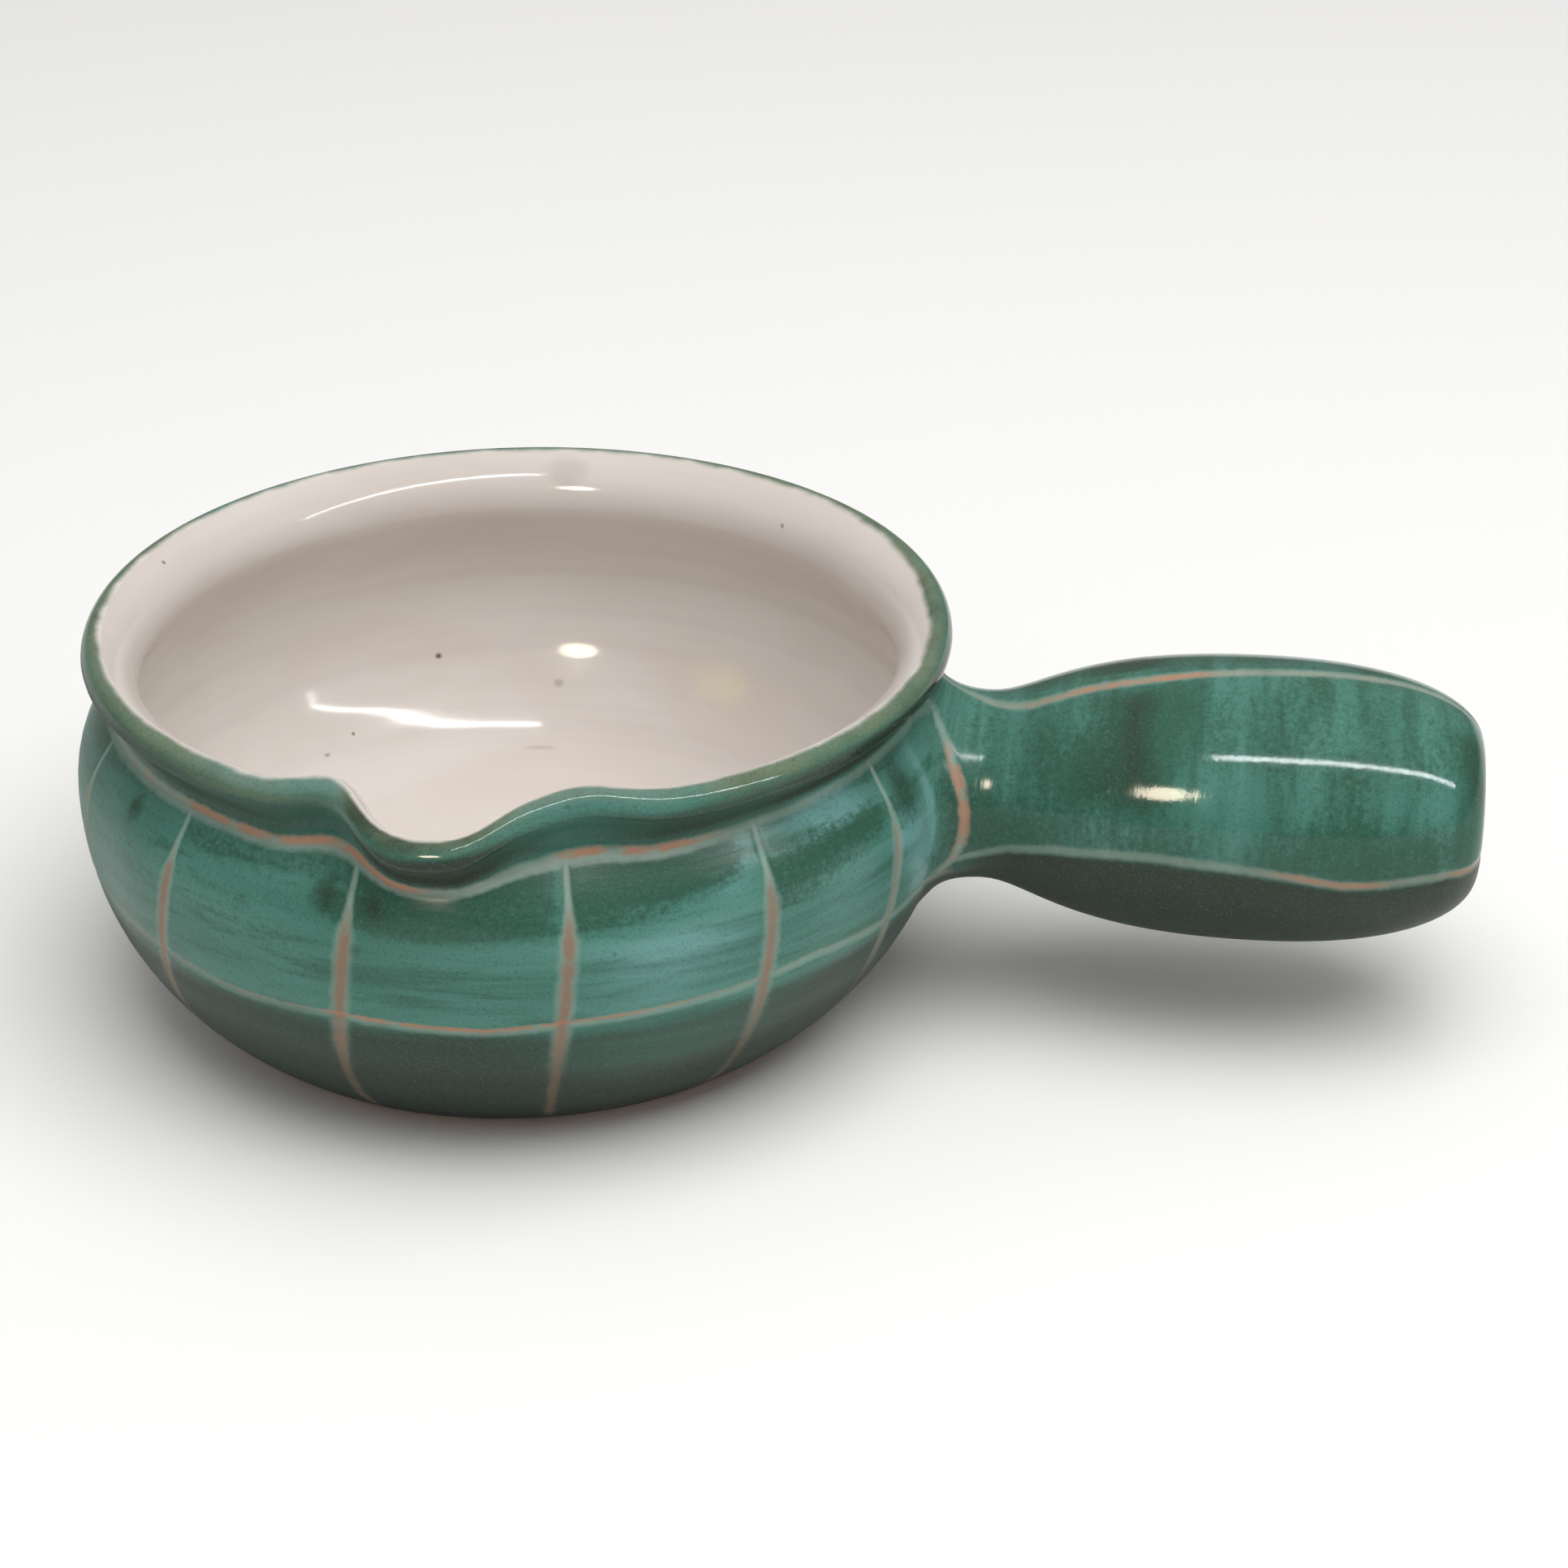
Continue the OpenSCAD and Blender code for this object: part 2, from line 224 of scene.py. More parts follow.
# where a turned point lies once the lip is pulled and the rim has leaned
def thrown(r, z, angle):
    s = spoutForm
    turn = wrapped(angle - s["angle"])
    at, half = (s["nearAt"], s["nearHalf"]) if turn > 0 else (s["farAt"], s["farHalf"])
    follow = smoothStep(s["footZ"], bowlForm["height"] - bowlForm["lipRise"], z)
    pull = math.exp(-abs(turn / s["half"]) ** 3)
    pinch = bell((abs(turn) - at) / half)
    r2 = r + follow * (s["out"] * pull - s["pinchIn"] * pinch)
    z2 = z + follow * (s["pinchUp"] * pinch - s["drop"] * pull)
    a = math.radians(angle)
    lean = bowlForm["lean"] * z / bowlForm["height"]
    return Vector((r2 * math.cos(a) + lean, r2 * math.sin(a), z2)) * mm


mergeGap = 1e-6  # metres
sharpAngle = math.radians(40)


def spinRows(points, steps, axis, centre, place):
    bm = bmesh.new()
    rowLayer = bm.verts.layers.int.new("row")
    verts = []
    for i, p in enumerate(points):
        v = bm.verts.new(place(p))
        v[rowLayer] = i
        verts.append(v)
    edges = [bm.edges.new(pair) for pair in zip(verts, verts[1:])]
    bmesh.ops.spin(bm, geom=verts + edges, cent=centre, axis=axis, angle=math.tau, steps=steps, use_merge=True)
    bmesh.ops.remove_doubles(bm, verts=bm.verts[:], dist=mergeGap)
    bmesh.ops.recalc_face_normals(bm, faces=bm.faces[:])
    return bm, bm.verts.layers.int["row"]


def spinBowl(points, steps):
    return spinRows(points, steps, (0, 0, 1), (0, 0, 0), lambda p: (p[0] * mm, 0, p[1] * mm))


def spinHandle(points, steps):
    z = handleForm["axisZ"]
    return spinRows(points, steps, (1, 0, 0), (0, 0, z * mm), lambda p: (p[0] * mm, 0, (z + p[1]) * mm))


# turns the faces so that side(v) is above zero on the whole
def faceOut(bm, side):
    bmesh.ops.recalc_face_normals(bm, faces=bm.faces[:])
    bm.normal_update()
    if sum(side(v) for v in bm.verts) < 0:
        bmesh.ops.reverse_faces(bm, faces=bm.faces[:])
        bm.normal_update()


# presses points in along their normals, by depths in mm
def press(depths):
    for v, depth in depths.items():
        v.co -= v.normal * depth * mm


def finishPiece(bm, name, material, nodes, thickness=0.0):
    if thickness:
        bmesh.ops.solidify(bm, geom=bm.faces[:], thickness=thickness * mm)
    bm.normal_update()
    for edge in bm.edges:
        edge.smooth = edge.calc_face_angle(0.0) < sharpAngle
    mesh = bpy.data.meshes.new(name)
    bm.to_mesh(mesh)
    bm.free()
    mesh.materials.append(material)
    for p in mesh.polygons:
        p.use_smooth = True
    piece = bpy.data.objects.new(name, mesh)
    bpy.context.scene.collection.objects.link(piece)
    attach(piece, "root")
    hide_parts(*nodes)
    print(name, len(mesh.vertices), "vertices", len(mesh.polygons), "faces")


# which column of the spin a point of the bowl is in
def columnOf(v, steps):
    return round(math.atan2(v.co.y, v.co.x) / math.tau * steps) % steps


# angle of a column that is tied to scratched lines, its distance from the nearer one in mm, and which that is
def tiedColumn(index, perGap, lineAngle, lineCount, radius):
    k, j = divmod(index, perGap)
    a = lineAngle(k)
    b = lineAngle((k + 1) % lineCount)
    while b < a:
        b += 360
    toDegrees = 180 / math.pi / radius
    near = len(lineOffsets)
    mids = perGap - 1 - 2 * near
    edge = lineOffsets[-1] * toDegrees
    if j <= near:
        d = 0.0 if j == 0 else lineOffsets[j - 1]
        return a + d * toDegrees, d, k
    if j > near + mids:
        d = lineOffsets[perGap - 1 - j]
        return b - d * toDegrees, d, (k + 1) % lineCount
    t = (j - near) / (mids + 1)
    angle = a + edge + (b - a - 2 * edge) * t
    return angle, min(angle - a, b - angle) / toDegrees, k if t < 0.5 else (k + 1) % lineCount


# angles of the upright scratches at the neck and at the foot, then how bare their clay is
uprightMarks = [
    (-153, -155, 0.6), (-128.2, -135, 1.0), (-101, -104.5, 1.0), (-74, -76, 1.0), (-48, -49, 0.9),
    (-25, -26.5, 0.5), (-5, -5, 0.0), (20, 20, 0.0), (46, 45, 0.7), (72, 73, 0.9), (98, 97, 0.8),
    (124, 125, 1.0), (150, 149, 0.6), (177, 177, 0.8),
]
uprightTurn = (6, 56)  # heights between which an upright goes from one angle to the other
ringMarks = {
    "upperZ": 59.3, "lowerZ": 31.5, "waverReach": 14.0, "upperReach": 6.0, "upperWaver": 0.35,
    "depth": 0.24, "half": 0.8, "burr": 0.04, "burrAt": 1.6, "burrHalf": 0.5,
    "perGap": 26, "rowStep": 2.0, "footEdge": 0.3, "footReach": 8.0,
    "lowerAt": [(-180, 31.4), (-150, 31.8), (-131, 31.7), (-117, 30.5), (-103, 31.5), (-84, 30.5),
                (-75, 31.8), (-49, 33), (-41, 33.7), (-25, 31.3), (0, 31), (40, 32), (80, 31),
                (120, 32.2), (150, 31), (180, 31.4)],
    "upperAt": [(-180, 58.6), (-150, 58.3), (-128, 58.0), (-74, 58.0), (-60, 58.5), (-48, 59.1),
                (-25, 59.3), (40, 59.3), (90, 58.7), (180, 58.6)],
    "upperEdge": [(-180, 1), (-60, 1), (-50, 0.45), (40, 0.45), (60, 1), (180, 1)],
    "lowerEdge": [(-180, 0.4), (-107, 0.4), (-102, 0.7), (140, 0.7), (180, 0.4)],
    "upperCore": [(-180, 0.5), (-150, 0.1), (-143, 0.35), (-137, 0.35), (-132, 0.05), (-128, 0.9),
                  (-94, 0.9), (-90, 0.1), (-77, 0.1), (-73, 0.9), (-58, 0.9), (-53, 0.1), (0, 0),
                  (40, 0.6), (90, 0.4), (140, 0.7), (180, 0.5)],
    "lowerCore": [(-180, 0.3), (-131, 0.25), (-106, 0.2), (-103, 0.85), (-77, 0.85), (-73, 0.6),
                  (-62, 0.5), (-56, 0.15), (-40, 0.1), (0, 0), (40, 0.4), (100, 0.7), (150, 0.3), (180, 0.3)],
}


def grooveDepth(d):
    m = ringMarks
    return bell(d / m["half"]) * m["depth"] - m["burr"] * bell((d - m["burrAt"]) / m["burrHalf"])


def uprightAngle(k, z):
    top, foot = uprightMarks[k][:2]
    return foot + (top - foot) * smoothStep(*uprightTurn, z)


outerByHeight = [(z, r) for r, z in outerCurve if z <= bowlForm["height"] - bowlForm["lipRise"]]


# outside face of the bowl on the handle's side
def bowlX(y, z):
    r = along(outerByHeight, z)
    return math.sqrt(max(r * r - y * y, 0)) + bowlForm["lean"] * z / bowlForm["height"]


# how far a point in mm lies from the handle's axis, and its angle round it
def roundHandle(p):
    up = p.z - handleForm["axisZ"]
    return math.hypot(p.y, up), math.degrees(math.atan2(up, -p.y))


# radius of the handle's root at an angle round its axis, rounded off below its top
def rootEnd(e):
    f = handleForm
    rise = math.sin(math.radians(e))
    if rise <= f["rootLevel"]:
        return f["rootR"]
    cap = (f["rootTopZ"] - f["axisZ"]) / rise
    soft = f["rootSoft"]
    return -soft * math.log(math.exp(-f["rootR"] / soft) + math.exp(-cap / soft))


# dark brushwork under the upper ring: from angle to angle, its lower edge at both ends, its strength
darkPanels = [
    (-153, -128, 54, 52.5, 0.2), (-128, -103, 53, 53.5, 0.6), (-103, -75.5, 48.5, 48.5, 0.85),
    (-74.5, -51, 48, 53, 1.0), (-48, -27, 45, 49.5, 0.85), (46, 71, 50, 47, 0.8), (73, 97, 49, 52, 0.9),
    (99, 123, 52, 48, 0.7), (125, 149, 50, 53, 0.85), (151, 176, 49, 50, 0.8), (178, 206, 52, 54, 0.7),
]
# single dabs: angle, height, half sizes in degrees and millimetres, strength
darkDabs = [
    (-104.5, 51.8, 1.7, 2.3, 1.0), (-97.8, 52.9, 1.9, 2.5, 1.0), (-115.8, 48.9, 1.2, 1.6, 0.5),
    (-100.2, 44.2, 1.2, 1.2, 0.7), (-138.8, 53.6, 1.5, 2.4, 0.85), (-21, 53, 3.0, 6.0, 0.8),
    (-10.5, 42, 3.0, 11.0, 0.9), (15, 46, 6.0, 8.0, 0.6), (110, 45, 2.0, 2.0, 0.5),
]
paleDabs = [
    (-36, 57, 7.0, 4.5, 1.0), (-22, 46, 3.5, 5.0, 0.8), (-18.5, 38, 3.0, 7.0, 0.8), (-61, 44, 10.0, 3.5, 0.6),
    (-35, 42, 9.0, 5.0, 0.3), (-62, 38, 11.0, 6.0, 0.35), (-88, 38, 10.0, 6.0, 0.22), (-15.3, 46, 1.4, 11.0, 0.85),
    (-53, 55, 3.5, 5.0, 0.6), (60, 42, 12.0, 6.0, 0.6), (135, 40, 10.0, 6.0, 0.6),
]
# how far the lip's olive runs: angle round the lip's section where green turns to white
whiteEdge = [(-180, 100), (-151, 100), (-123, 94), (-105, 86), (-85, 96), (-63, 100), (-47, 92), (-25, 96),
             (-11, 104), (10, 138), (33, 115), (67, 107), (100, 103), (123, 101), (180, 100)]
# less than 1 where the lip's pale edge reaches further down
crestReach = [(-180, 1), (-128, 1), (-118, 0.85), (-104, 0.85), (-98, 1.2), (-84, 1.1), (-60, 1), (0, 1),
              (60, 0.9), (180, 1)]
# round the lip: how blue its crest is, how dark (with a painted shadow of the fold at the spout's pinched left
# corner), how high the shade of the neck climbs, how deep that shade is
lipTeal = [(-180, 0.1), (-128, 0.05), (-119, 0.4), (-105, 0.4), (-100, 0), (-84, 0.1), (-76, 0.35), (-64, 0.3),
           (-50, 0.05), (60, 0.1), (120, 0.3), (180, 0.1)]
# the crest's darkness round the lip; its peak near -100 degrees is a painted shadow of the fold at the spout's
# pinched corner
lipDarkAndPinchShadow = [(-180, 0.3), (-150, 0.35), (-130, 0.15), (-104, 0.05), (-100, 0.9), (-95, 0.75), (-86, 0.5),
           (-79, 0.15), (-60, 0.2), (-40, 0.2), (0, 0.3), (180, 0.3)]
neckTop = [(-180, 67.6), (-125, 67.6), (-112, 67.2), (-100, 66.5), (-86, 67), (-78, 65.5), (-62, 65.8),
           (-50, 67), (0, 67), (60, 66.5), (180, 67.6)]
neckShade = [(-180, 0.7), (-130, 0.7), (-112, 0.6), (-103, 0.45), (-97, 0.9), (-88, 1.1), (-80, 0.6),
             (-74, 0.35), (-68, 0.5), (-60, 0.75), (-48, 0.7), (-40, 0.85), (0, 1.5), (60, 1.1), (180, 0.7)]
# height up to which the neck is dull
dullTop = [(-180, 66.5), (-110, 66.5), (-97, 64), (0, 64), (60, 66), (180, 66.5)]
# where the brushwork fades, in degrees round the bowl and in millimetres of height, and its strengths; it also sets
# painted shade on the left side and toward the foot, and a painted reflection of a brown table in the lowest band
bowlBrush = {
    "panelSide": (-1, 1), "panelFoot": (-3, 2.5), "panelTop": (-0.3, 1.2),
    "besideHandle": (-48, -27), "besideFade": (53, 56), "besideLess": 0.8,
    # the left side: olive glaze there, darkened by painted shade that grows toward the foot
    "leftStart": (-180, -166), "leftEnd": (-140, -112), "leftShade": 0.25,
    "leftOliveAndShade": 0.25, "leftFootShade": 0.65, "leftFoot": (26, 36),
    "lipFoot": (0, 2.3), "neckFoot": (-0.3, 2.5), "blueAt": -62, "blueHalf": 16, "blueLess": 0.25,
    # painted shade toward the foot, less where the glaze is blue, then a painted reflection of a brown table in the
    # lowest band
    "footShade": 0.82, "footTop": (28, 32.5), "tableReflection": 0.85, "tableTop": (4, 24), "spotOlive": 0.7,
    "dimAt": -116, "dimHalf": 14, "dimDark": 0.22,
    "frontPale": 0.1, "frontStart": (-100, -60), "frontEnd": (0, 60), "dabReach": 2.5,
    "dullFoot": (59.5, 61.5), "dullFade": (0, 2.5), "leftDull": 0.4, "leftDullEnd": (-152, -138),
}


def dabs(spots, angle, z):
    total = 0.0
    for a, h, da, dh, amount in spots:
        off = wrapped(angle - a) / da
        if abs(off) < bowlBrush["dabReach"]:
            total += amount * bell(off) * bell((z - h) / dh)
    return total


# the brushwork at a point: how dark, how olive, how pale; dark and olive also hold painted shade on the left side,
# toward the foot and at the spout's pinched corner, and a painted reflection of a brown table at the foot
def bowlTone(angle, z):
    b = bowlBrush
    side = b["panelSide"]
    dark = 0.0
    for start, end, startZ, endZ, amount in darkPanels:
        for turn in (angle, angle + 360):
            if start + side[0] < turn < end + side[1]:
                foot = startZ + (endZ - startZ) * (turn - start) / (end - start)
                inside = stepPast(start, side, turn) * (1 - stepPast(end, side, turn))
                dark = max(dark, amount * inside * stepPast(foot, b["panelFoot"], z))
    if b["besideHandle"][0] < angle < b["besideHandle"][1]:
        dark *= 1 - b["besideLess"] * smoothStep(*b["besideFade"], z)
    ringZ = along(ringMarks["upperAt"], angle)
    dark *= 1 - stepPast(ringZ, b["panelTop"], z)
    spots = dabs(darkDabs, angle, z)
    dark += spots
    left = smoothStep(*b["leftStart"], angle) * (1 - smoothStep(*b["leftEnd"], angle)) if angle < 0 else 0.0
    lip = stepPast(along(neckTop, angle), b["lipFoot"], z)
    neck = stepPast(ringZ, b["neckFoot"], z) * (1 - lip)
    # painted shade darker towards the foot, less where the glaze is blue, and a painted reflection of a brown table
    # in the lowest band
    blue = bell((angle - b["blueAt"]) / b["blueHalf"])
    low = (b["footShade"] - b["blueLess"] * blue) * (1 - smoothStep(*b["footTop"], z))
    low += b["tableReflection"] * (1 - smoothStep(*b["tableTop"], z))
    # olive glaze on the left side, with painted shade growing toward the foot
    leftOliveAndShade = b["leftOliveAndShade"] + b["leftFootShade"] * (1 - smoothStep(*b["leftFoot"], z))
    olive = max(low, neck * along(neckShade, angle), leftOliveAndShade * left, b["spotOlive"] * spots)
    dim = b["dimDark"] * bell((angle - b["dimAt"]) / b["dimHalf"])
    # this holds painted shade on the left side and a painted shadow at the spout's pinched corner
    dark = max(dark, b["leftShade"] * left, dim, lip * along(lipDarkAndPinchShadow, angle))
    pale = b["frontPale"] * smoothStep(*b["frontStart"], angle) * (1 - smoothStep(*b["frontEnd"], angle))
    pale += dabs(paleDabs, angle, z)
    pale = max(clamp(pale) * (1 - neck) * (1 - left) * (1 - lip), lip * along(lipTeal, angle))
    return Vector((clamp(dark), clamp(olive, 0, 2), pale))


# how dull the glaze is in the groove under the lip, and on the left
def bowlDull(angle, z):
    b = bowlBrush
    groove = smoothStep(*b["dullFoot"], z) * (1 - stepPast(along(dullTop, angle), b["dullFade"], z))
    left = b["leftDull"] * smoothStep(*b["leftStart"], angle) * (1 - smoothStep(*b["leftDullEnd"], angle))
    return max(groove, left)


# dark bands brushed round the handle: place along it, half width, strength
handleBands = [(109, 4.5, 0.8), (102, 4, 0.35), (93, 3, 0.2), (132, 3, 0.2), (147, 4, 0.25), (166, 2.5, 0.5)]
handlePales = [(120, 7, 0.15), (139, 5, 0.1), (157, 8, 0.15), (86, 4, 0.15)]
handleBase = [(76, 0.75), (90, 0.6), (99, 0.5), (113, 0.42), (170, 0.4)]
handleBrush = {
    # the share under each scratch that spreads toward the underside is painted shade
    "noiseAlong": 0.11, "noiseRound": 1.6, "lineShare": 0.55, "underShade": 0.45,
    "frontLine": (-5, 0.5), "frontUnder": (-34, -6), "backLine": (-0.5, 5), "backUnder": (6, 34),
    "bandSway": 3, "paleSway": 4, "bandFoot": (8, 30), "bandTop": (66, 82), "bandBack": 0.5,
    # the darkening of the lower front is painted shade
    "topAt": 104, "topHalf": 18, "lowShade": 0.3, "lowTop": (6, 22),
    "sideLess": 0.3, "sideAt": 28, "sideHalf": 10, "sideFrom": (110, 120),
    "swing": 0.5, "lowOlive": 1.7, "topOlive": 0.4, "bandOlive": 0.75,
}


# brushwork by place along the handle and angle; below the scratch on each side it turns to dark olive, which
# painted shade deepens toward the underside; the lower front also gets painted shade
def handleTone(x, e):
    b = handleBrush
    c, s = math.cos(math.radians(e)), math.sin(math.radians(e))
    turned = noise.noise(Vector((x * b["noiseAlong"], c * b["noiseRound"], s * b["noiseRound"])))
    front = abs(e) <= 90
    # the olive right under each scratch is the glaze's own; its wider spread toward the underside is painted shade
    if front:
        line = along(handleMarks["low"], x) - 360
        low = b["lineShare"] * (1 - stepPast(line, b["frontLine"], e))
        low += b["underShade"] * (1 - stepPast(line, b["frontUnder"], e))
    else:
        line = along(handleMarks["back"], x)
        low = b["lineShare"] * stepPast(line, b["backLine"], e % 360)
        low += b["underShade"] * stepPast(line, b["backUnder"], e % 360)
    band = sum(a * bell((x - at + b["bandSway"] * turned) / half) for at, half, a in handleBands)
    band *= smoothStep(*b["bandFoot"], e) * (1 - smoothStep(*b["bandTop"], e)) if front else b["bandBack"]
    pale = sum(a * bell((x - at + b["paleSway"] * turned) / half) for at, half, a in handlePales) * (1 - low)
    top = bell((e - b["topAt"]) / b["topHalf"])
    base = along(handleBase, x)
    if front:
        side = b["sideLess"] * bell((e - b["sideAt"]) / b["sideHalf"]) * smoothStep(*b["sideFrom"], x)
        # painted shade on the lower front of the handle
        base += b["lowShade"] * (1 - smoothStep(*b["lowTop"], e)) - side
    olive = max(b["lowOlive"] * low, b["topOlive"] * top + b["bandOlive"] * band)
    return Vector((clamp(base + b["swing"] * turned + band), olive, clamp(pale)))


def markLayers(bm, *names):
    return [bm.verts.layers.float_vector.new(n) for n in names]


# where the scratches on the bowl fade, in millimetres, with their strengths, widths and depths
scratchFade = {
    "haloFoot": (3, 8), "haloRing": (-0.2, 0.8), "haloLow": 0.05,
    "haloMid": 0.75, "haloMidZ": (18, 33), "haloTop": 0.15, "haloTopZ": (45, 52),
    "coreFoot": (2.5, 6), "coreTop": (48, 53), "coreLow": 0.40, "coreMid": 0.60, "coreMidZ": (16, 32),
    "bareSide": 24, "width": 0.78, "topWidth": 1.7, "topWidthZ": (47, 56), "footWidth": 0.2, "footWidthZ": (10, 28),
    "ringEnd": (3.5, 5), "ringWidth": (0.35, 0.65), "ringHalo": (0.3, 0.7), "lowerWidth": 1.35,
    "cutReach": 2.5, "cutLess": 0.6, "cutLessZ": (46, 54), "rootClear": (-1, 4), "rootUnder": 5.0,
}


def buildBowlCoat(material):
    f, m, w = bowlForm, ringMarks, scratchFade
    run = runLengths(outerCurve)
    byHeight = [(p[1], s) for p, s in zip(outerCurve, run) if p[1] <= f["height"] - f["lipRise"]]
    start = along(byHeight, f["bareFoot"])
    upper, lower = along(byHeight, m["upperZ"]), along(byHeight, m["lowerZ"])
    rows = rowPlaces(run[-1] - start, m["rowStep"], [lower - start, upper - start], upper - start)
    places = [start + s for s in rows]
    perGap, count = m["perGap"], len(uprightMarks)
    steps = perGap * count
    bm, rowLayer = spinBowl([pointAt(outerCurve, run, s) for s in places], steps)
    upright, ring, tone, zone = markLayers(bm, "upright", "ring", "tone", "zone")
    cuts = {}
    for v in bm.verts:
        place = places[v[rowLayer]]
        dLow, dTop = place - lower, place - upper
        r, z = pointAt(outerCurve, run, place)
        angle, dUp, k = tiedColumn(columnOf(v, steps), perGap, lambda i: uprightAngle(i, z), count, r)
        angle = wrapped(angle)
        ringZ = along(m["upperAt"], angle)
        s = place + (along(m["lowerAt"], angle) - m["lowerZ"]) * bell(dLow / m["waverReach"])
        waver = m["upperWaver"] * noiseRound(angle, scale=2.5, layer=4)
        s += (waver + ringZ - m["upperZ"]) * bell(dTop / m["upperReach"])
        edge = m["footEdge"] + m["footEdge"] * noiseRound(angle, scale=5, layer=1)
        s += edge * (1 - smoothStep(0, m["footReach"], place - start))
        r, z = pointAt(outerCurve, run, s)
        v.co = thrown(r, z, angle)
        halo = smoothStep(*w["haloFoot"], z) * (1 - stepPast(ringZ, w["haloRing"], z))
        halo *= (w["haloLow"] + w["haloMid"] * smoothStep(*w["haloMidZ"], z)
                 + w["haloTop"] * smoothStep(*w["haloTopZ"], z))
        core = uprightMarks[k][2] * smoothStep(*w["coreFoot"], z) * (1 - smoothStep(*w["coreTop"], z))
        core *= w["coreLow"] + w["coreMid"] * smoothStep(*w["coreMidZ"], z)
        if abs(angle) < w["bareSide"]:
            halo = core = 0.0
        narrow = (w["width"] + w["topWidth"] * smoothStep(*w["topWidthZ"], z)
                  + w["footWidth"] * (1 - smoothStep(*w["footWidthZ"], z)))
        v[upright] = (dUp * narrow, halo, core)
        near = 1 - smoothStep(*w["ringEnd"], min(abs(dTop), abs(dLow)))
        if abs(dTop) < abs(dLow):
            edge = along(m["upperEdge"], angle)
            v[ring] = (dTop / (w["ringWidth"][0] + w["ringWidth"][1] * edge),
                       (w["ringHalo"][0] + w["ringHalo"][1] * edge) * near, near * along(m["upperCore"], angle))
        else:
            v[ring] = (dLow * w["lowerWidth"], near * along(m["lowerEdge"], angle),
                       near * along(m["lowerCore"], angle))
        v[tone] = bowlTone(angle, z)
        v[zone] = (0.0, (lipRun(along(whiteEdge, angle)) - s) * along(crestReach, angle), bowlDull(angle, z))
        deep = [0.0]
        if dUp < w["cutReach"]:
            deep = [grooveDepth(dUp) * halo * (1 - w["cutLess"] * smoothStep(*w["cutLessZ"], z))]
        deep += [grooveDepth(d) for d in (dTop, dLow) if abs(d) < w["cutReach"]]
        at = v.co / mm
        reach, e = roundHandle(at)
        bare = stepPast(rootEnd(e), w["rootClear"], reach) if at.x > 0 else 1.0
        cuts[v] = bare * max(deep)
    faceOut(bm, lambda v: v.normal.x * v.co.x + v.normal.y * v.co.y)
    press(cuts)
    hidden = []
    for face in bm.faces:
        c = face.calc_center_median() / mm
        reach, e = roundHandle(c)
        if c.x > 0 and reach < rootEnd(e) - w["rootUnder"]:
            hidden.append(face)
    bmesh.ops.delete(bm, geom=hidden, context="FACES")
    finishPiece(bm, "bowlCoat", material, ["bowl_glaze"], f["glaze"])


liningForm = {
    "ringDepth": 0.10, "ringStep": 8.0, "rowStep": 2.0, "lipRun": 12.0, "lipRows": 24,
    "ringStart": (14, 26), "ringMiddle": (2, 20), "driftStep": 0.6,
}


def buildLining(material):
    f = liningForm
    run = runLengths(innerCurve)
    places = [f["lipRun"] * i / f["lipRows"] for i in range(f["lipRows"])]
    places += [f["lipRun"] + s for s in rowPlaces(run[-1] - f["lipRun"], f["rowStep"], [])]
    perGap, count = ringMarks["perGap"], len(uprightMarks)
    steps = perGap * count
    bm, rowLayer = spinBowl([pointAt(innerCurve, run, s) for s in places], steps)
    tone, zone = markLayers(bm, "tone", "zone")
    ridges = {}
    for v in bm.verts:
        s = places[v[rowLayer]]
        r, z = pointAt(innerCurve, run, s)
        # the columns of the coat, so that the two meet point to point on the lip
        tied = tiedColumn(columnOf(v, steps), perGap, lambda i: uprightMarks[i][0], count, innerCurve[0][0])
        angle = wrapped(tied[0])
        v.co = thrown(r, z, angle)
        v[tone] = bowlTone(angle, bowlForm["height"])
        v[zone] = (0.0, lipRun(along(whiteEdge, angle)) - coatEnd - s, 0.0)
        turns = (s + f["ringStep"] * angle / 360) / f["ringStep"]
        drift = 0.5 + 0.5 * noise.noise(Vector((turns * f["driftStep"], 3, 1)))
        ridge = f["ringDepth"] * drift * math.sin(math.tau * turns)
        ridges[v] = -ridge * smoothStep(*f["ringStart"], s) * smoothStep(*f["ringMiddle"], r)
    floorTop = 0.02  # metres
    faceOut(bm, lambda v: v.normal.z if v.co.z < floorTop else 0.0)
    press(ridges)
    finishPiece(bm, "lining", material, ["inner_glaze"], bowlForm["glaze"])


clayForm = {
    "columns": 140, "every": 3, "under": 0.06, "footRings": 7, "perRing": 6, "ringDepth": 0.25,
    "ringStart": (3, 10), "ringEnd": (-9, -3), "chamfer": 0.8, "chamferAt": [(0.3, 0.15), (0.0, 0.6)],
    "clear": 0.3, "poleR": 1.0,
}


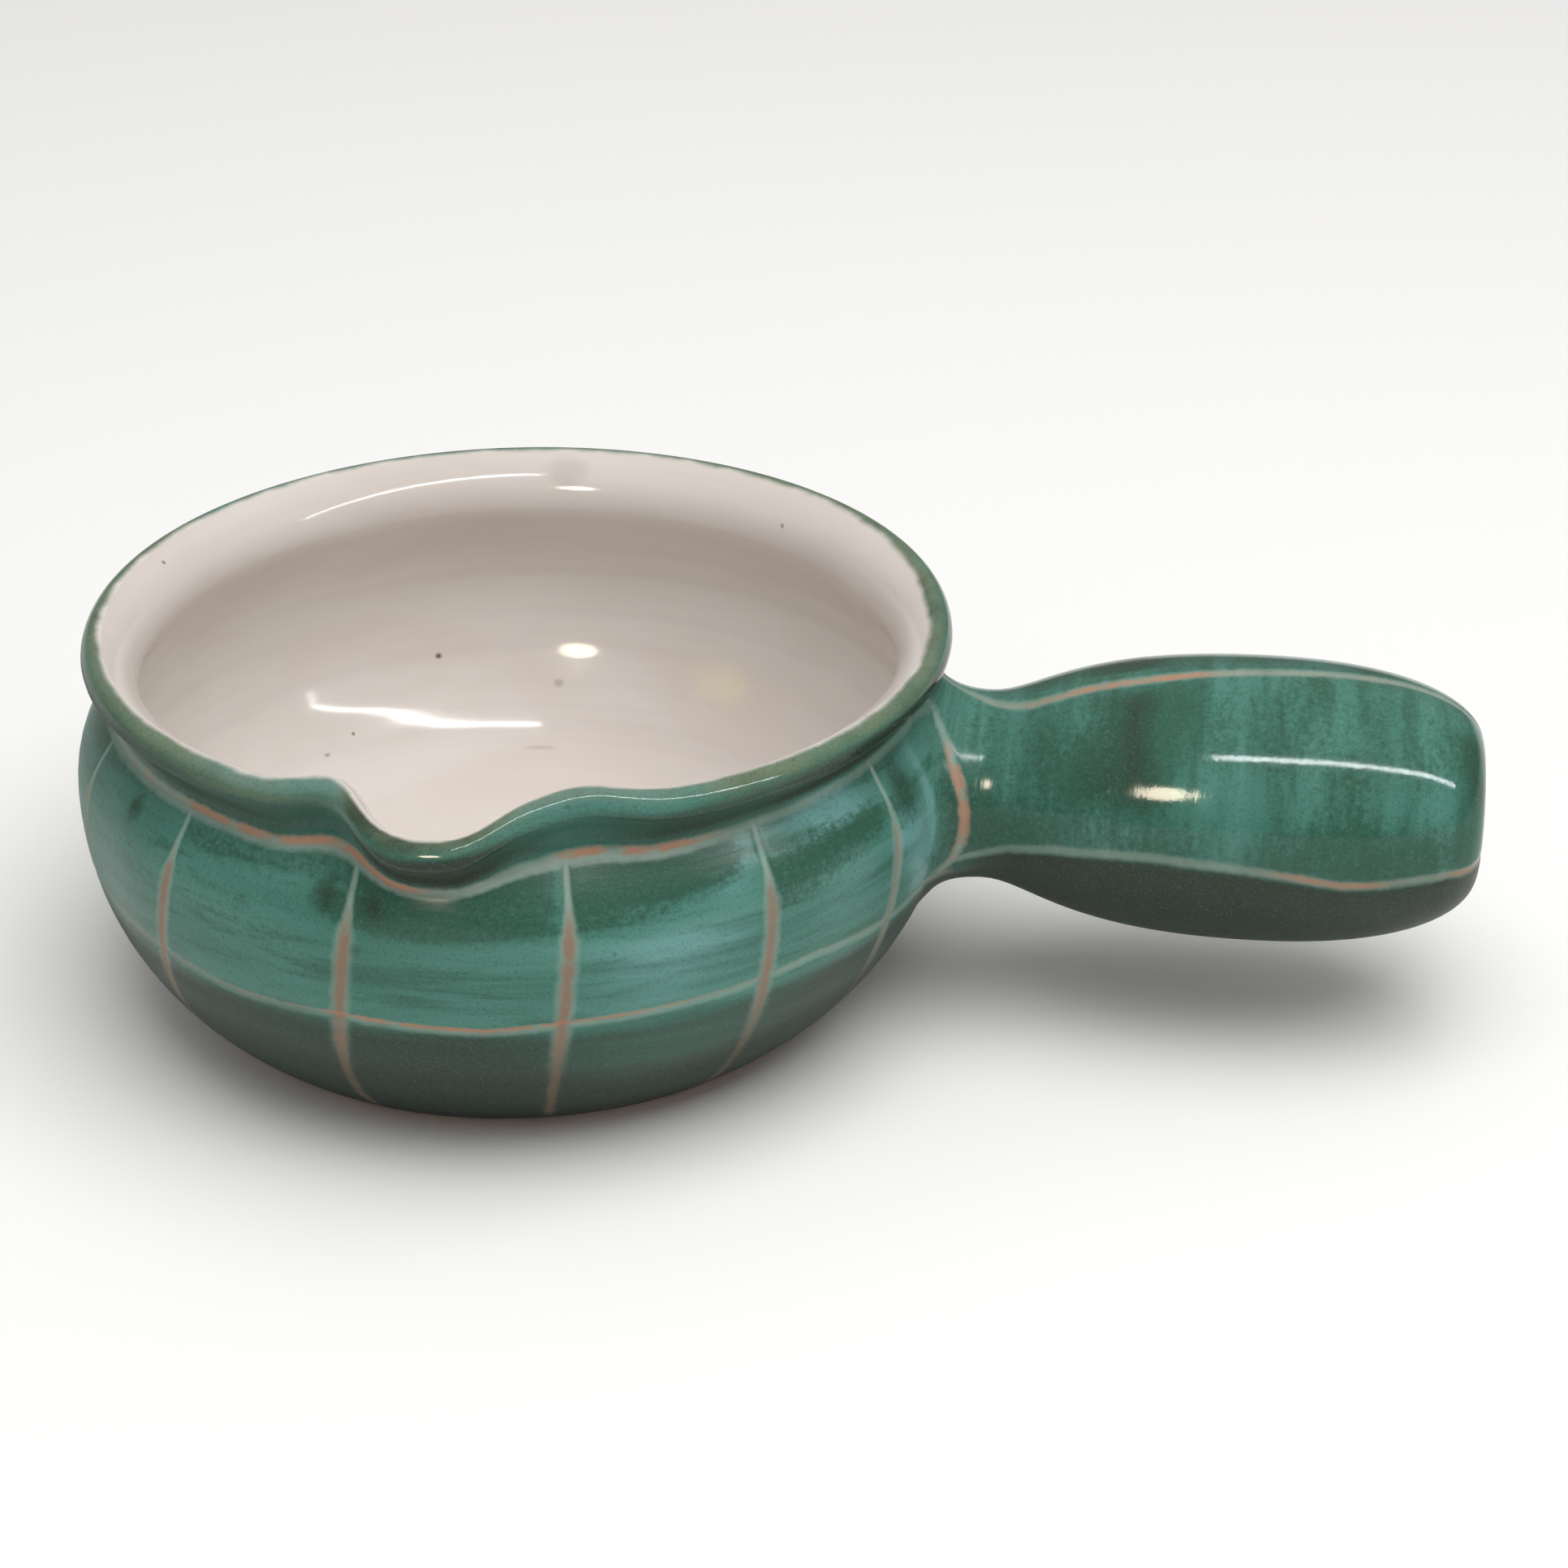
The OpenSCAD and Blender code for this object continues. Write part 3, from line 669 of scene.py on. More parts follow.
def buildClayBody(material):
    f, b = clayForm, bowlForm
    inset = b["glaze"] + f["under"]

    def moved(points):
        out = []
        for i, (r, z) in enumerate(points):
            ra, za = points[max(i - 1, 0)]
            rb, zb = points[min(i + 1, len(points) - 1)]
            length = math.hypot(rb - ra, zb - za)
            out.append((r - inset * (zb - za) / length, z + inset * (rb - ra) / length))
        return out

    foot = b["footR"] - b["glaze"]
    count = f["footRings"] * f["perRing"]
    base = []
    for i in range(count + 1):
        r = (foot - f["chamfer"]) * i / count
        ring = f["ringDepth"] * (0.5 - 0.5 * math.cos(math.tau * i / f["perRing"]))
        base.append((r, ring * smoothStep(*f["ringStart"], r) * (1 - stepPast(foot, f["ringEnd"], r))))
    base += [(foot - f["chamfer"] * back, f["chamfer"] * up) for back, up in f["chamferAt"]]
    outside = [p for p in moved(outerCurve[::f["every"]]) if p[1] > base[-1][1] + f["clear"]]
    inside = [p for p in moved(innerCurve[::f["every"]]) if p[0] > f["poleR"]] + [(0.0, b["floorZ"] - inset)]
    points = base + outside + inside
    bm, rowLayer = spinBowl(points, f["columns"])
    for v in bm.verts:
        r, z = points[v[rowLayer]]
        v.co = thrown(r, z, math.degrees(math.atan2(v.co.y, v.co.x)) if r else 0.0)
    bmesh.ops.recalc_face_normals(bm, faces=bm.faces[:])
    finishPiece(bm, "clayBody", material, ["bowl"])


# scratches along the handle: angle above the level of its axis on the lip's side, by distance along it
handleMarks = {
    "top": [(71, 112), (77, 105), (81.4, 93), (84, 85), (88, 79), (91, 77), (95, 78), (99, 79.5), (107, 81),
            (112, 82), (119, 84.5), (126, 86), (138, 89), (149, 92.5), (157, 96), (168, 101)],
    "back": [(74, 166), (90, 170), (120, 174), (150, 171), (168, 172)],
    "under": [(74, 262), (90, 268), (120, 264), (150, 266), (168, 265)],
    "low": [(74, 326), (81, 336), (88, 348), (95, 355), (103, 358.4), (112, 360), (125, 358.5), (137, 355),
            (144, 351.5), (149, 351), (156, 351.5), (162, 351), (168, 345)],
    "topCore": [(74, 0), (88, 0.3), (96, 0.5), (100, 0.9), (119, 0.9), (123, 0.2), (168, 0.1)],
    "lowCore": [(74, 0), (130, 0.1), (138, 0.7), (149, 0.7), (153, 0.15), (160, 0.1), (164, 0.6), (168, 0.6)],
    "sideCore": 0.3, "lowWidth": 1.3, "lowHalo": 0.6, "width": 1.0, "halo": 0.8,
    "perGap": 45, "rootRows": 40, "rootRun": 12, "endFine": 12, "rowStep": 1.6,
    "rootGap": (-0.5, 1.5), "rootEnd": 1.2, "onHandle": (0.2, 1.5), "toneBlend": (0.5, 1.3), "offLip": 50.0,
}
handleLines = ["top", "back", "under", "low"]


def gripCurve():
    f = handleForm
    steps = f["curveSteps"]
    pts = curve([(f["neckX"], f["neckR"]), (f["neckX"] + f["neckPull"], f["neckR"]),
                 (f["gripX"] - f["gripPull"], f["gripR"]), (f["gripX"], f["gripR"])], steps)
    power = 2 / f["endPower"]
    for i in range(steps):
        a = math.radians(90 - 90 * i / steps)
        pts.append((f["gripX"] + f["endRun"] * max(math.cos(a), 0) ** power,
                    f["endR"] + (f["gripR"] - f["endR"]) * math.sin(a) ** power))
    return pts + [(f["endX"], f["endR"])]


gripPoints = gripCurve()


def flareX(reach):
    f = handleForm
    turn = math.radians(f["flareTurn"])
    up = reach - f["neckR"]
    full = f["flareRise"] * (1 - math.cos(turn))
    t = math.acos(1 - min(up, full) / f["flareRise"])
    past = max(up - full, 0) * f["flareRun"] * math.cos(turn) / (f["flareRise"] * math.sin(turn))
    return f["neckX"] - f["flareRun"] * math.sin(t) - past


# from the bowl's wall (u 0) to the handle's neck (u 1) in the plane at angle e, flare and wall blended
def rootPoint(e, u):
    f = handleForm
    c, s = math.cos(math.radians(e)), math.sin(math.radians(e))
    reach = f["neckR"] + (rootEnd(e) - f["neckR"]) * (1 - u) ** 2
    wall = bowlX(-reach * c, f["axisZ"] + reach * s)
    flare = flareX(reach)
    blend = f["rootBlend"] + f["topBlend"] * max(s, 0) ** 3
    h = max(blend - abs(wall - flare), 0) / blend
    sunk = wall - f["rootSink"]
    x = sunk + (max(wall, flare) + h * h * blend / 4 - sunk) * smoothStep(0, f["rootRise"], u)
    return Vector((x, -reach * c, f["axisZ"] + reach * s))


# scratch round the root on the lip's side: (angle, place between wall and neck), mirrored behind
rootMark = {
    "line": [(-60, 0.1), (-38.5, 0.41), (-25.5, 0.73), (-9, 0.83), (7.5, 0.85), (22, 0.80), (40.5, 0.66),
             (56, 0.51), (69, 0.28), (77, 0.08)],
    "core": [(-60, 0), (-30, 0.1), (-12, 0.7), (20, 0.8), (42, 0.7), (52, 0.0), (76, 0)],
    "angles": range(-36, 77, 2), "ease": (-6, -3, 0, 3, 6), "span": (-50, 80), "start": (-46, -36),
    "insideEdge": (0.0, 0.1), "lowerZ": 30.4, "lowerEnd": 0.75, "lowerStart": (13, 17), "lowerCore": 0.2,
    "ringFrom": 30, "ringWidth": 0.64, "ringHalo": 0.62, "neckEnd": (1.0, 1.15), "farOff": 9.0,
}


def rootLinePoints():
    m = rootMark
    spots = []
    for e in m["angles"]:
        smooth = sum(along(m["line"], e + d) for d in m["ease"]) / len(m["ease"])
        spots.append(rootPoint(e, clamp(smooth)))
    return spots


rootSpots = rootLinePoints()


# distance from the nearest of the root's scratches in mm, with its halo and core
def rootScratch(e, u, at):
    m = rootMark
    if math.cos(math.radians(e)) < 0:
        e = 180 - e if e > 0 else -180 - e
        at = Vector((at.x, -at.y, at.z))
    gap, halo, core = m["farOff"], 0.0, 0.0
    if m["span"][0] < e < m["span"][1]:
        gap = min((at - spot).length for spot in rootSpots)
        halo, core = smoothStep(*m["start"], e), along(m["core"], e)
    inside = 1 - smoothStep(*m["insideEdge"], u - along(m["line"], e))
    low, high = abs(at.z - m["lowerZ"]), abs(at.z - ringMarks["upperZ"])
    if low < gap and at.y < 0 and u < m["lowerEnd"]:
        gap, halo, core = low, smoothStep(*m["lowerStart"], -at.y), m["lowerCore"]
    if high < gap and e > m["ringFrom"]:
        gap, halo, core = high / m["ringWidth"], m["ringHalo"] * inside, 0.0
    return Vector((gap, halo * (1 - smoothStep(*m["neckEnd"], u)), core))


def buildHandleCoat(material):
    f, m = handleForm, handleMarks
    skin = gripPoints + [(f["endX"], f["coatEdge"])]
    run = runLengths(skin)
    places = rowPlaces(run[-1], m["rowStep"], [], run[-1] - m["endFine"])
    rows = m["rootRows"]
    sketch = [(f["neckX"] - m["rootRun"] + m["rootRun"] * i / rows, f["neckR"]) for i in range(rows)]
    sketch += [pointAt(skin, run, s) for s in places]
    perGap, count = m["perGap"], len(handleLines)
    steps = perGap * count
    bm, rowLayer = spinHandle(sketch, steps)
    upright, ring, tone, zone = markLayers(bm, "upright", "ring", "tone", "zone")
    cuts = {}
    for v in bm.verts:
        i = v[rowLayer]
        turn = math.degrees(math.atan2(v.co.z - f["axisZ"] * mm, -v.co.y)) - 90
        column = round(turn / 360 * steps) % steps
        x, reach = sketch[i]
        u = i / rows
        e, d, k = tiedColumn(column, perGap, lambda n: along(m[handleLines[n]], x), count, reach)
        e = wrapped(e)
        c, s = math.cos(math.radians(e)), math.sin(math.radians(e))
        at = rootPoint(e, u) if i < rows else Vector((x, -reach * c, f["axisZ"] + reach * s))
        x = at.x
        v.co = at * mm
        line = handleLines[k]
        core = along(m[line + "Core"], x) if line + "Core" in m else m["sideCore"]
        width, halo = (m["lowWidth"], m["lowHalo"]) if line == "low" else (m["width"], m["halo"])
        v[ring] = rootScratch(e, u, at) if u < m["rootEnd"] else (rootMark["farOff"], 0.0, 0.0)
        past = smoothStep(*m["rootGap"], v[ring].x) if line != "top" and u < 1.0 else 1.0
        v[upright] = (d * width, halo * past, core)
        wall = bowlTone(math.degrees(math.atan2(v.co.y, v.co.x)), v.co.z / mm)
        v[tone] = wall.lerp(handleTone(x, e), smoothStep(*m["toneBlend"], u))
        v[zone] = (smoothStep(*m["onHandle"], u), m["offLip"], 0.0)
        cuts[v] = max(grooveDepth(gap) * share if abs(gap) < scratchFade["cutReach"] else 0.0
                      for gap, share in ((d, past), v[ring].xy))
    faceOut(bm, lambda v: v.normal.y * v.co.y)
    press(cuts)
    finishPiece(bm, "handleCoat", material, ["handle_glaze"], bowlForm["glaze"])


handleClayForm = {
    "columns": 72, "rings": 9, "perRing": 8, "ringDepth": 0.35, "rowStep": 2.5, "under": 0.06,
    "sunk": 3.0, "edgeGap": 0.4, "mouthAt": [(0.0, 0.7), (0.25, 0.2), (0.8, 0.0)], "opening": 14,
}


def buildHandleClay(material):
    f, c = handleForm, handleClayForm
    inset = bowlForm["glaze"] + c["under"]
    run = runLengths(gripPoints)
    skin = [pointAt(gripPoints, run, s) for s in rowPlaces(run[-1], c["rowStep"], [])]
    face, sunkX = f["endX"] - inset, f["neckX"] - c["sunk"]
    outside = [(sunkX, f["neckR"] - inset)] + [(min(x, face), r - inset) for x, r in skin[1:-1]]
    outside += [(face, f["coatEdge"] + c["edgeGap"])]
    outside += [(face - back, f["mouthR"] + out) for back, out in c["mouthAt"] + [(f["mouthLen"], 0.0)]]
    inside = []
    count = c["rings"] * c["perRing"]
    length = face - f["mouthLen"] - f["neckX"] + c["sunk"]
    for i in range(1, count + 1):
        x = face - f["mouthLen"] - length * i / count
        opened = smoothStep(0, c["opening"], face - f["mouthLen"] - x)
        r = f["mouthR"] + (along(gripPoints, x) - f["wall"] - f["mouthR"]) * opened
        inside.append((x, r + c["ringDepth"] * math.sin(math.tau * i / c["perRing"]) * opened))
    points = outside + inside + [(sunkX, f["neckR"] - f["wall"]), outside[0]]
    bm = spinHandle(points, c["columns"])[0]
    bmesh.ops.recalc_face_normals(bm, faces=bm.faces[:])
    finishPiece(bm, "handleClay", material, ["handle"])


# node helpers: a socket given as a value is linked, anything else is set
def put(tree, kind, inputs=None, **settings):
    n = tree.nodes.new(kind)
    for name, value in settings.items():
        setattr(n, name, value)
    for key, value in (inputs or {}).items():
        if isinstance(value, bpy.types.NodeSocket):
            tree.links.new(value, n.inputs[key])
        else:
            n.inputs[key].default_value = value
    return n


def calc(tree, operation, a, b=0.0, clampIt=False):
    return put(tree, "ShaderNodeMath", {0: a, 1: b}, operation=operation, use_clamp=clampIt).outputs[0]


def times(tree, a, b):
    return calc(tree, "MULTIPLY", a, b)


def plusPart(tree, base, value, share):
    return calc(tree, "ADD", base, times(tree, value, share))


def fade(tree, value, low, high):
    return put(tree, "ShaderNodeMapRange", {0: value, 1: low, 2: high, 3: 0.0, 4: 1.0},
               interpolation_type="SMOOTHSTEP").outputs[0]


def fadeOut(tree, value, low, high):
    return calc(tree, "SUBTRACT", 1.0, fade(tree, value, low, high))


def tint(tree, factor, a, b):
    return put(tree, "ShaderNodeMix", {0: factor, 6: a, 7: b}, data_type="RGBA").outputs[2]


def scaled(tree, vector, scale):
    return put(tree, "ShaderNodeMapping", {"Vector": vector, "Scale": scale}).outputs[0]


def split(tree, vector):
    return put(tree, "ShaderNodeSeparateXYZ", {0: vector}).outputs


def cloud(tree, vector, scale, detail=2.0, roughness=0.5, distortion=0.0):
    return put(tree, "ShaderNodeTexNoise", {"Vector": vector, "Scale": scale, "Detail": detail,
                                            "Roughness": roughness, "Distortion": distortion}).outputs["Fac"]


# noise on both sides of zero
def sway(tree, vector, scale, amount, roughness=0.5):
    return times(tree, calc(tree, "SUBTRACT", cloud(tree, vector, scale, 3.0, roughness), 0.5), amount)


def newGroup(name, vectors, values, outs):
    g = bpy.data.node_groups.new(name, "ShaderNodeTree")
    sockets = [(n, "INPUT", "NodeSocketVector") for n in vectors]
    sockets += [(n, "INPUT", "NodeSocketFloat") for n in values]
    sockets += [(n, "OUTPUT", "NodeSocketFloat") for n in outs]
    for n, side, kind in sockets:
        g.interface.new_socket(name=n, in_out=side, socket_type=kind)
    return g, g.nodes.new("NodeGroupInput").outputs, g.nodes.new("NodeGroupOutput").inputs


def useGroup(tree, group, inputs):
    return put(tree, "ShaderNodeGroup", inputs, node_tree=group).outputs


# brush strokes round the bowl, and round the handle where OnHandle is 1
def makeBrushGroup():
    g, i, out = newGroup("brushStreaks", ["Vector"], ["OnHandle"], ["Broad", "Streak", "Fine"])
    bowlWay = scaled(g, i["Vector"], (16, 16, 150))
    gripWay = scaled(g, i["Vector"], (120, 22, 22))
    way = put(g, "ShaderNodeMix", {0: i["OnHandle"], 4: bowlWay, 5: gripWay}, data_type="VECTOR").outputs[1]
    g.links.new(cloud(g, way, 0.7, 3.0, 0.55, 0.3), out["Broad"])
    g.links.new(cloud(g, way, 2.2, 4.0, 0.6, 0.4), out["Streak"])
    g.links.new(cloud(g, way, 7.0, 3.0, 0.65), out["Fine"])
    return g


# for the uprights and the rings: which side halo and core lean to, and their inner and outer edges in mm
scratchLook = {
    "Upright": {"haloSide": 0.0, "coreSide": 0.0, "halo": (0.3, 1.9), "core": (0.25, 1.25)},
    "Ring": {"haloSide": -0.25, "coreSide": 0.35, "halo": (0.3, 1.7), "core": (0.1, 1.05)},
}


# halo and bare core of the scratches, from distances in mm and strengths kept on the mesh
def makeScratchGroup():
    g, i, out = newGroup("scratchLines", ["Vector", "Upright", "Ring"], [], ["Halo", "Worn", "Core"])
    rough = sway(g, i["Vector"], 520, 0.9, 0.6)
    broken = fade(g, cloud(g, i["Vector"], 210, 3.0, 0.6), 0.30, 0.52)
    uneven = calc(g, "ADD", times(g, cloud(g, i["Vector"], 150), 0.7), 0.6)
    halos, cores = [], []
    for name, look in scratchLook.items():
        gap, halo, core = split(g, i[name])
        fromHalo = calc(g, "ABSOLUTE", calc(g, "SUBTRACT", gap, look["haloSide"]))
        fromCore = calc(g, "ABSOLUTE", calc(g, "SUBTRACT", gap, look["coreSide"]))
        halos.append(times(g, fadeOut(g, calc(g, "ADD", fromHalo, rough), *look["halo"]), halo))
        cores.append(times(g, fadeOut(g, calc(g, "ADD", fromCore, rough), *look["core"]), core))
    g.links.new(calc(g, "MULTIPLY", calc(g, "MAXIMUM", *halos), uneven, True), out["Halo"])
    thin = calc(g, "ADD", times(g, broken, 0.45), 0.55)
    g.links.new(times(g, cores[0], thin), out["Worn"])
    g.links.new(times(g, cores[1], broken), out["Core"])
    return g


# small dark specks of iron in the glaze
def makeSpeckGroup():
    g, i, out = newGroup("ironSpecks", ["Vector"], ["Scale", "Size", "Share"], ["Speck"])
    cells = put(g, "ShaderNodeTexVoronoi", {"Vector": i["Vector"], "Scale": i["Scale"]})
    near = calc(g, "LESS_THAN", cells.outputs["Distance"], i["Size"])
    pick = put(g, "ShaderNodeSeparateColor", {0: cells.outputs["Color"]}).outputs[0]
    g.links.new(times(g, near, calc(g, "LESS_THAN", pick, i["Share"])), out["Speck"])
    return g


brushGroup = makeBrushGroup()
scratchGroup = makeScratchGroup()
speckGroup = makeSpeckGroup()


def newMaterial(name):
    mat = bpy.data.materials.new(name)
    mat.use_nodes = True
    tree = mat.node_tree
    tree.nodes.clear()
    shader = tree.nodes.new("ShaderNodeBsdfPrincipled")
    tree.links.new(shader.outputs[0], tree.nodes.new("ShaderNodeOutputMaterial").inputs[0])
    where = tree.nodes.new("ShaderNodeTexCoord").outputs["Object"]
    return mat, tree, shader, where


def read(tree, name):
    return put(tree, "ShaderNodeAttribute", attribute_name=name, attribute_type="GEOMETRY").outputs["Vector"]


def dress(tree, shader, look, colour, gloss, height):
    bump = {"Strength": look["bump"], "Distance": look["bumpDepth"], "Height": height}
    normal = put(tree, "ShaderNodeBump", bump).outputs[0]
    for name, value in (("Base Color", colour), ("Roughness", gloss), ("Normal", normal)):
        tree.links.new(value, shader.inputs[name])


greenLook = {
    "light": (0.080, 0.235, 0.185, 1), "mid": (0.052, 0.175, 0.132, 1), "dark": (0.034, 0.108, 0.072, 1),
    # olive and deep also serve as painted shade toward the foot, on the left side and under the handle, and as a
    # painted reflection of a brown table
    "olive": (0.028, 0.042, 0.027, 1), "deep": (0.006, 0.015, 0.008, 1), "pale": (0.165, 0.370, 0.350, 1),
    "halo": (0.33, 0.44, 0.38, 1), "core": (0.48, 0.21, 0.115, 1), "worn": (0.275, 0.158, 0.098, 1),
    "crest": (0.150, 0.205, 0.130, 1), "crestTeal": (0.150, 0.240, 0.195, 1), "crestDark": (0.050, 0.066, 0.038, 1),
    "streakShare": 0.5, "grainDark": 0.34, "grainPale": 0.16, "speckShare": 0.45,
    "haloShare": 0.74, "wornShare": 0.85, "coreShare": 0.90,
    "gloss": 0.05, "fineGloss": 0.08, "wallGloss": 0.16, "oliveGloss": 0.32, "coreGloss": 0.25,
    "haloGloss": 0.22, "dullGloss": 0.5, "bump": 0.16, "bumpDepth": 0.0006, "ior": 1.31,
}
whiteLook = {
    "clean": (0.720, 0.676, 0.637, 1), "warm": (0.680, 0.618, 0.575, 1), "grey": (0.50, 0.445, 0.415, 1),
    "speck": (0.16, 0.12, 0.10, 1), "ringShare": 0.20, "speckShare": 0.7,
    "gloss": 0.06, "fineGloss": 0.08, "bump": 0.10, "bumpDepth": 0.0006, "ior": 1.31,
}


# share of white where the two glazes meet on the lip, from the distance to the edge in mm
def whiteShare(tree, where, gap):
    return fadeOut(tree, calc(tree, "ADD", gap, sway(tree, where, 160, 1.6)), -0.8, 0.8)


# the crest's colour: olive, bluer or darker by the tone kept on the mesh; the darker part includes a painted shadow
# at the spout's pinched corner
def crestColour(tree, where, tone):
    c = greenLook
    colour = tint(tree, fade(tree, tone[2], 0.05, 0.35), c["crest"], c["crestTeal"])
    dark = calc(tree, "ADD", tone[0], sway(tree, where, 130, 1.2, 0.6))
    return tint(tree, fade(tree, dark, 0.05, 0.95), colour, c["crestDark"])


def makeGreenGlaze():
    c = greenLook
    mat, tree, shader, where = newMaterial("greenGlaze")
    dark, olive, pale = tone = split(tree, read(tree, "tone"))
    onHandle, toWhite, dull = split(tree, read(tree, "zone"))
    brush = useGroup(tree, brushGroup, {"Vector": where, "OnHandle": onHandle})
    lines = {"Vector": where, "Upright": read(tree, "upright"), "Ring": read(tree, "ring")}
    marks = useGroup(tree, scratchGroup, lines)
    specks = useGroup(tree, speckGroup, {"Vector": where, "Scale": 420.0, "Size": 0.16, "Share": 0.06})
    mottle = cloud(tree, where, 900, 3.0, 0.65)
    offHandle = calc(tree, "SUBTRACT", 1.0, onHandle)
    # the strokes are calmer where those of the bowl and of the handle mix
    calm = calc(tree, "SUBTRACT", 1.0, times(tree, times(tree, onHandle, offHandle), 3.4), True)
    swing = times(tree, calc(tree, "SUBTRACT", brush["Streak"], 0.5), calm)
    colour = tint(tree, fade(tree, brush["Broad"], 0.35, 0.65), c["mid"], c["light"])
    colour = tint(tree, times(tree, fade(tree, swing, 0.02, -0.16), c["streakShare"]), colour, c["dark"])
    colour = tint(tree, fade(tree, plusPart(tree, pale, swing, 0.8), 0.05, 1.0), colour, c["pale"])
    patch = plusPart(tree, dark, swing, -1.1)
    patch = plusPart(tree, patch, calc(tree, "SUBTRACT", mottle, 0.5), 1.3)
    colour = tint(tree, fade(tree, patch, 0.05, 1.0), colour, c["dark"])
    # the olive tone is olive glaze and also painted shade and a painted reflection of a brown table; past 0.9 it
    # turns deep
    low = plusPart(tree, olive, times(tree, swing, 0.5), fade(tree, olive, 0.0, 0.3))
    colour = tint(tree, fade(tree, low, 0.0, 1.0), colour, c["olive"])
    colour = tint(tree, fade(tree, low, 0.9, 1.9), colour, c["deep"])
    crest = fadeOut(tree, plusPart(tree, toWhite, swing, 5.0), 0.8, 4.8)
    crest = times(tree, crest, fade(tree, cloud(tree, where, 60), 0.15, 0.5))
    colour = tint(tree, crest, colour, crestColour(tree, where, tone))
    grain = cloud(tree, where, 2300, 2.0, 0.7)
    grainDark = calc(tree, "SUBTRACT", c["grainDark"], fade(tree, grain, 0.30, 0.62), True)
    colour = tint(tree, grainDark, colour, c["olive"])
    colour = tint(tree, times(tree, fade(tree, grain, 0.50, 0.75), c["grainPale"]), colour, c["pale"])
    colour = tint(tree, times(tree, specks["Speck"], c["speckShare"]), colour, c["dark"])
    colour = tint(tree, times(tree, marks["Halo"], c["haloShare"]), colour, c["halo"])
    worn = tint(tree, onHandle, c["worn"], c["core"])
    colour = tint(tree, times(tree, marks["Worn"], c["wornShare"]), colour, worn)
    colour = tint(tree, times(tree, marks["Core"], c["coreShare"]), colour, c["core"])
    colour = tint(tree, whiteShare(tree, where, toWhite), colour, whiteLook["clean"])
    belowLip = fade(tree, toWhite, 8.0, 15.0)
    wall = times(tree, belowLip, offHandle)
    matte = times(tree, fade(tree, olive, 0.45, 1.1), belowLip)
    gloss = calc(tree, "ADD", times(tree, brush["Fine"], c["fineGloss"]), c["gloss"])
    for value, share in ((wall, "wallGloss"), (matte, "oliveGloss"), (marks["Core"], "coreGloss"),
                         (marks["Halo"], "haloGloss"), (dull, "dullGloss")):
        gloss = plusPart(tree, gloss, value, c[share])
    height = plusPart(tree, times(tree, brush["Streak"], 0.5), brush["Broad"], 0.8)
    height = plusPart(tree, height, mottle, 0.12)
    dress(tree, shader, c, colour, gloss, height)
    shader.inputs["IOR"].default_value = c["ior"]
    return mat


# stray marks in the white: centre and half sizes in millimetres, colour, strength
liningMarks = [
    ((-26.8, 62.6, 29.5), (0.8, 1.5, 0.7), (0.10, 0.07, 0.05, 1), 0.9),
    ((-6.0, 56.2, 14.0), (4.0, 4.0, 0.4), (0.24, 0.16, 0.12, 1), 0.25),
    ((28.9, 61.0, 27.3), (9.0, 8.0, 5.0), (0.80, 0.74, 0.56, 1), 0.6),
    ((-1.5, 68.0, 67.0), (5.0, 4.0, 4.5), (0.46, 0.41, 0.37, 1), 0.4),
    ((41.2, 53.1, 64.5), (0.5, 1.0, 0.5), (0.16, 0.12, 0.10, 1), 0.6),
    ((-44.6, 41.0, 18.0), (0.9, 0.9, 0.4), (0.16, 0.12, 0.10, 1), 0.55),
    ((-3.9, 65.1, 23.8), (1.3, 1.5, 0.9), (0.36, 0.32, 0.29, 1), 0.6),
]


def markShare(tree, where, centre, half):
    middle, stretch = [v * mm for v in centre], [1 / (v * mm) for v in half]
    off = put(tree, "ShaderNodeVectorMath", {0: where, 1: middle}, operation="SUBTRACT").outputs[0]
    off = put(tree, "ShaderNodeVectorMath", {0: off, 1: stretch}, operation="MULTIPLY").outputs[0]
    far = put(tree, "ShaderNodeVectorMath", {0: off}, operation="LENGTH").outputs["Value"]
    return fadeOut(tree, calc(tree, "ADD", far, sway(tree, where, 420, 0.7)), 0.2, 1.1)


def makeWhiteGlaze():
    c = whiteLook
    mat, tree, shader, where = newMaterial("whiteGlaze")
    tone = split(tree, read(tree, "tone"))
    toWhite = split(tree, read(tree, "zone"))[1]
    wash = cloud(tree, scaled(tree, where, (18, 18, 60)), 1.0, 3.0, 0.55, 0.4)
    rings = cloud(tree, scaled(tree, where, (5, 5, 190)), 1.0, 3.0, 0.6)
    specks = useGroup(tree, speckGroup, {"Vector": where, "Scale": 120.0, "Size": 0.05, "Share": 0.12})
    colour = tint(tree, fade(tree, wash, 0.35, 0.7), c["clean"], c["warm"])
    colour = tint(tree, times(tree, fade(tree, rings, 0.45, 0.75), c["ringShare"]), colour, c["grey"])
    colour = tint(tree, times(tree, specks["Speck"], c["speckShare"]), colour, c["speck"])
    for centre, half, shade, amount in liningMarks:
        colour = tint(tree, times(tree, markShare(tree, where, centre, half), amount), colour, shade)
    colour = tint(tree, whiteShare(tree, where, toWhite), crestColour(tree, where, tone), colour)
    gloss = calc(tree, "ADD", times(tree, cloud(tree, where, 600), c["fineGloss"]), c["gloss"])
    dress(tree, shader, c, colour, gloss, wash)
    shader.inputs["IOR"].default_value = c["ior"]
    return mat


clayLook = {
    "red": (0.25, 0.115, 0.06, 1), "pale": (0.34, 0.175, 0.10, 1), "dark": (0.12, 0.055, 0.034, 1),
    "speckShare": 0.6, "rough": 0.72, "gritRough": 0.2, "bump": 0.35, "bumpDepth": 0.0004,
}


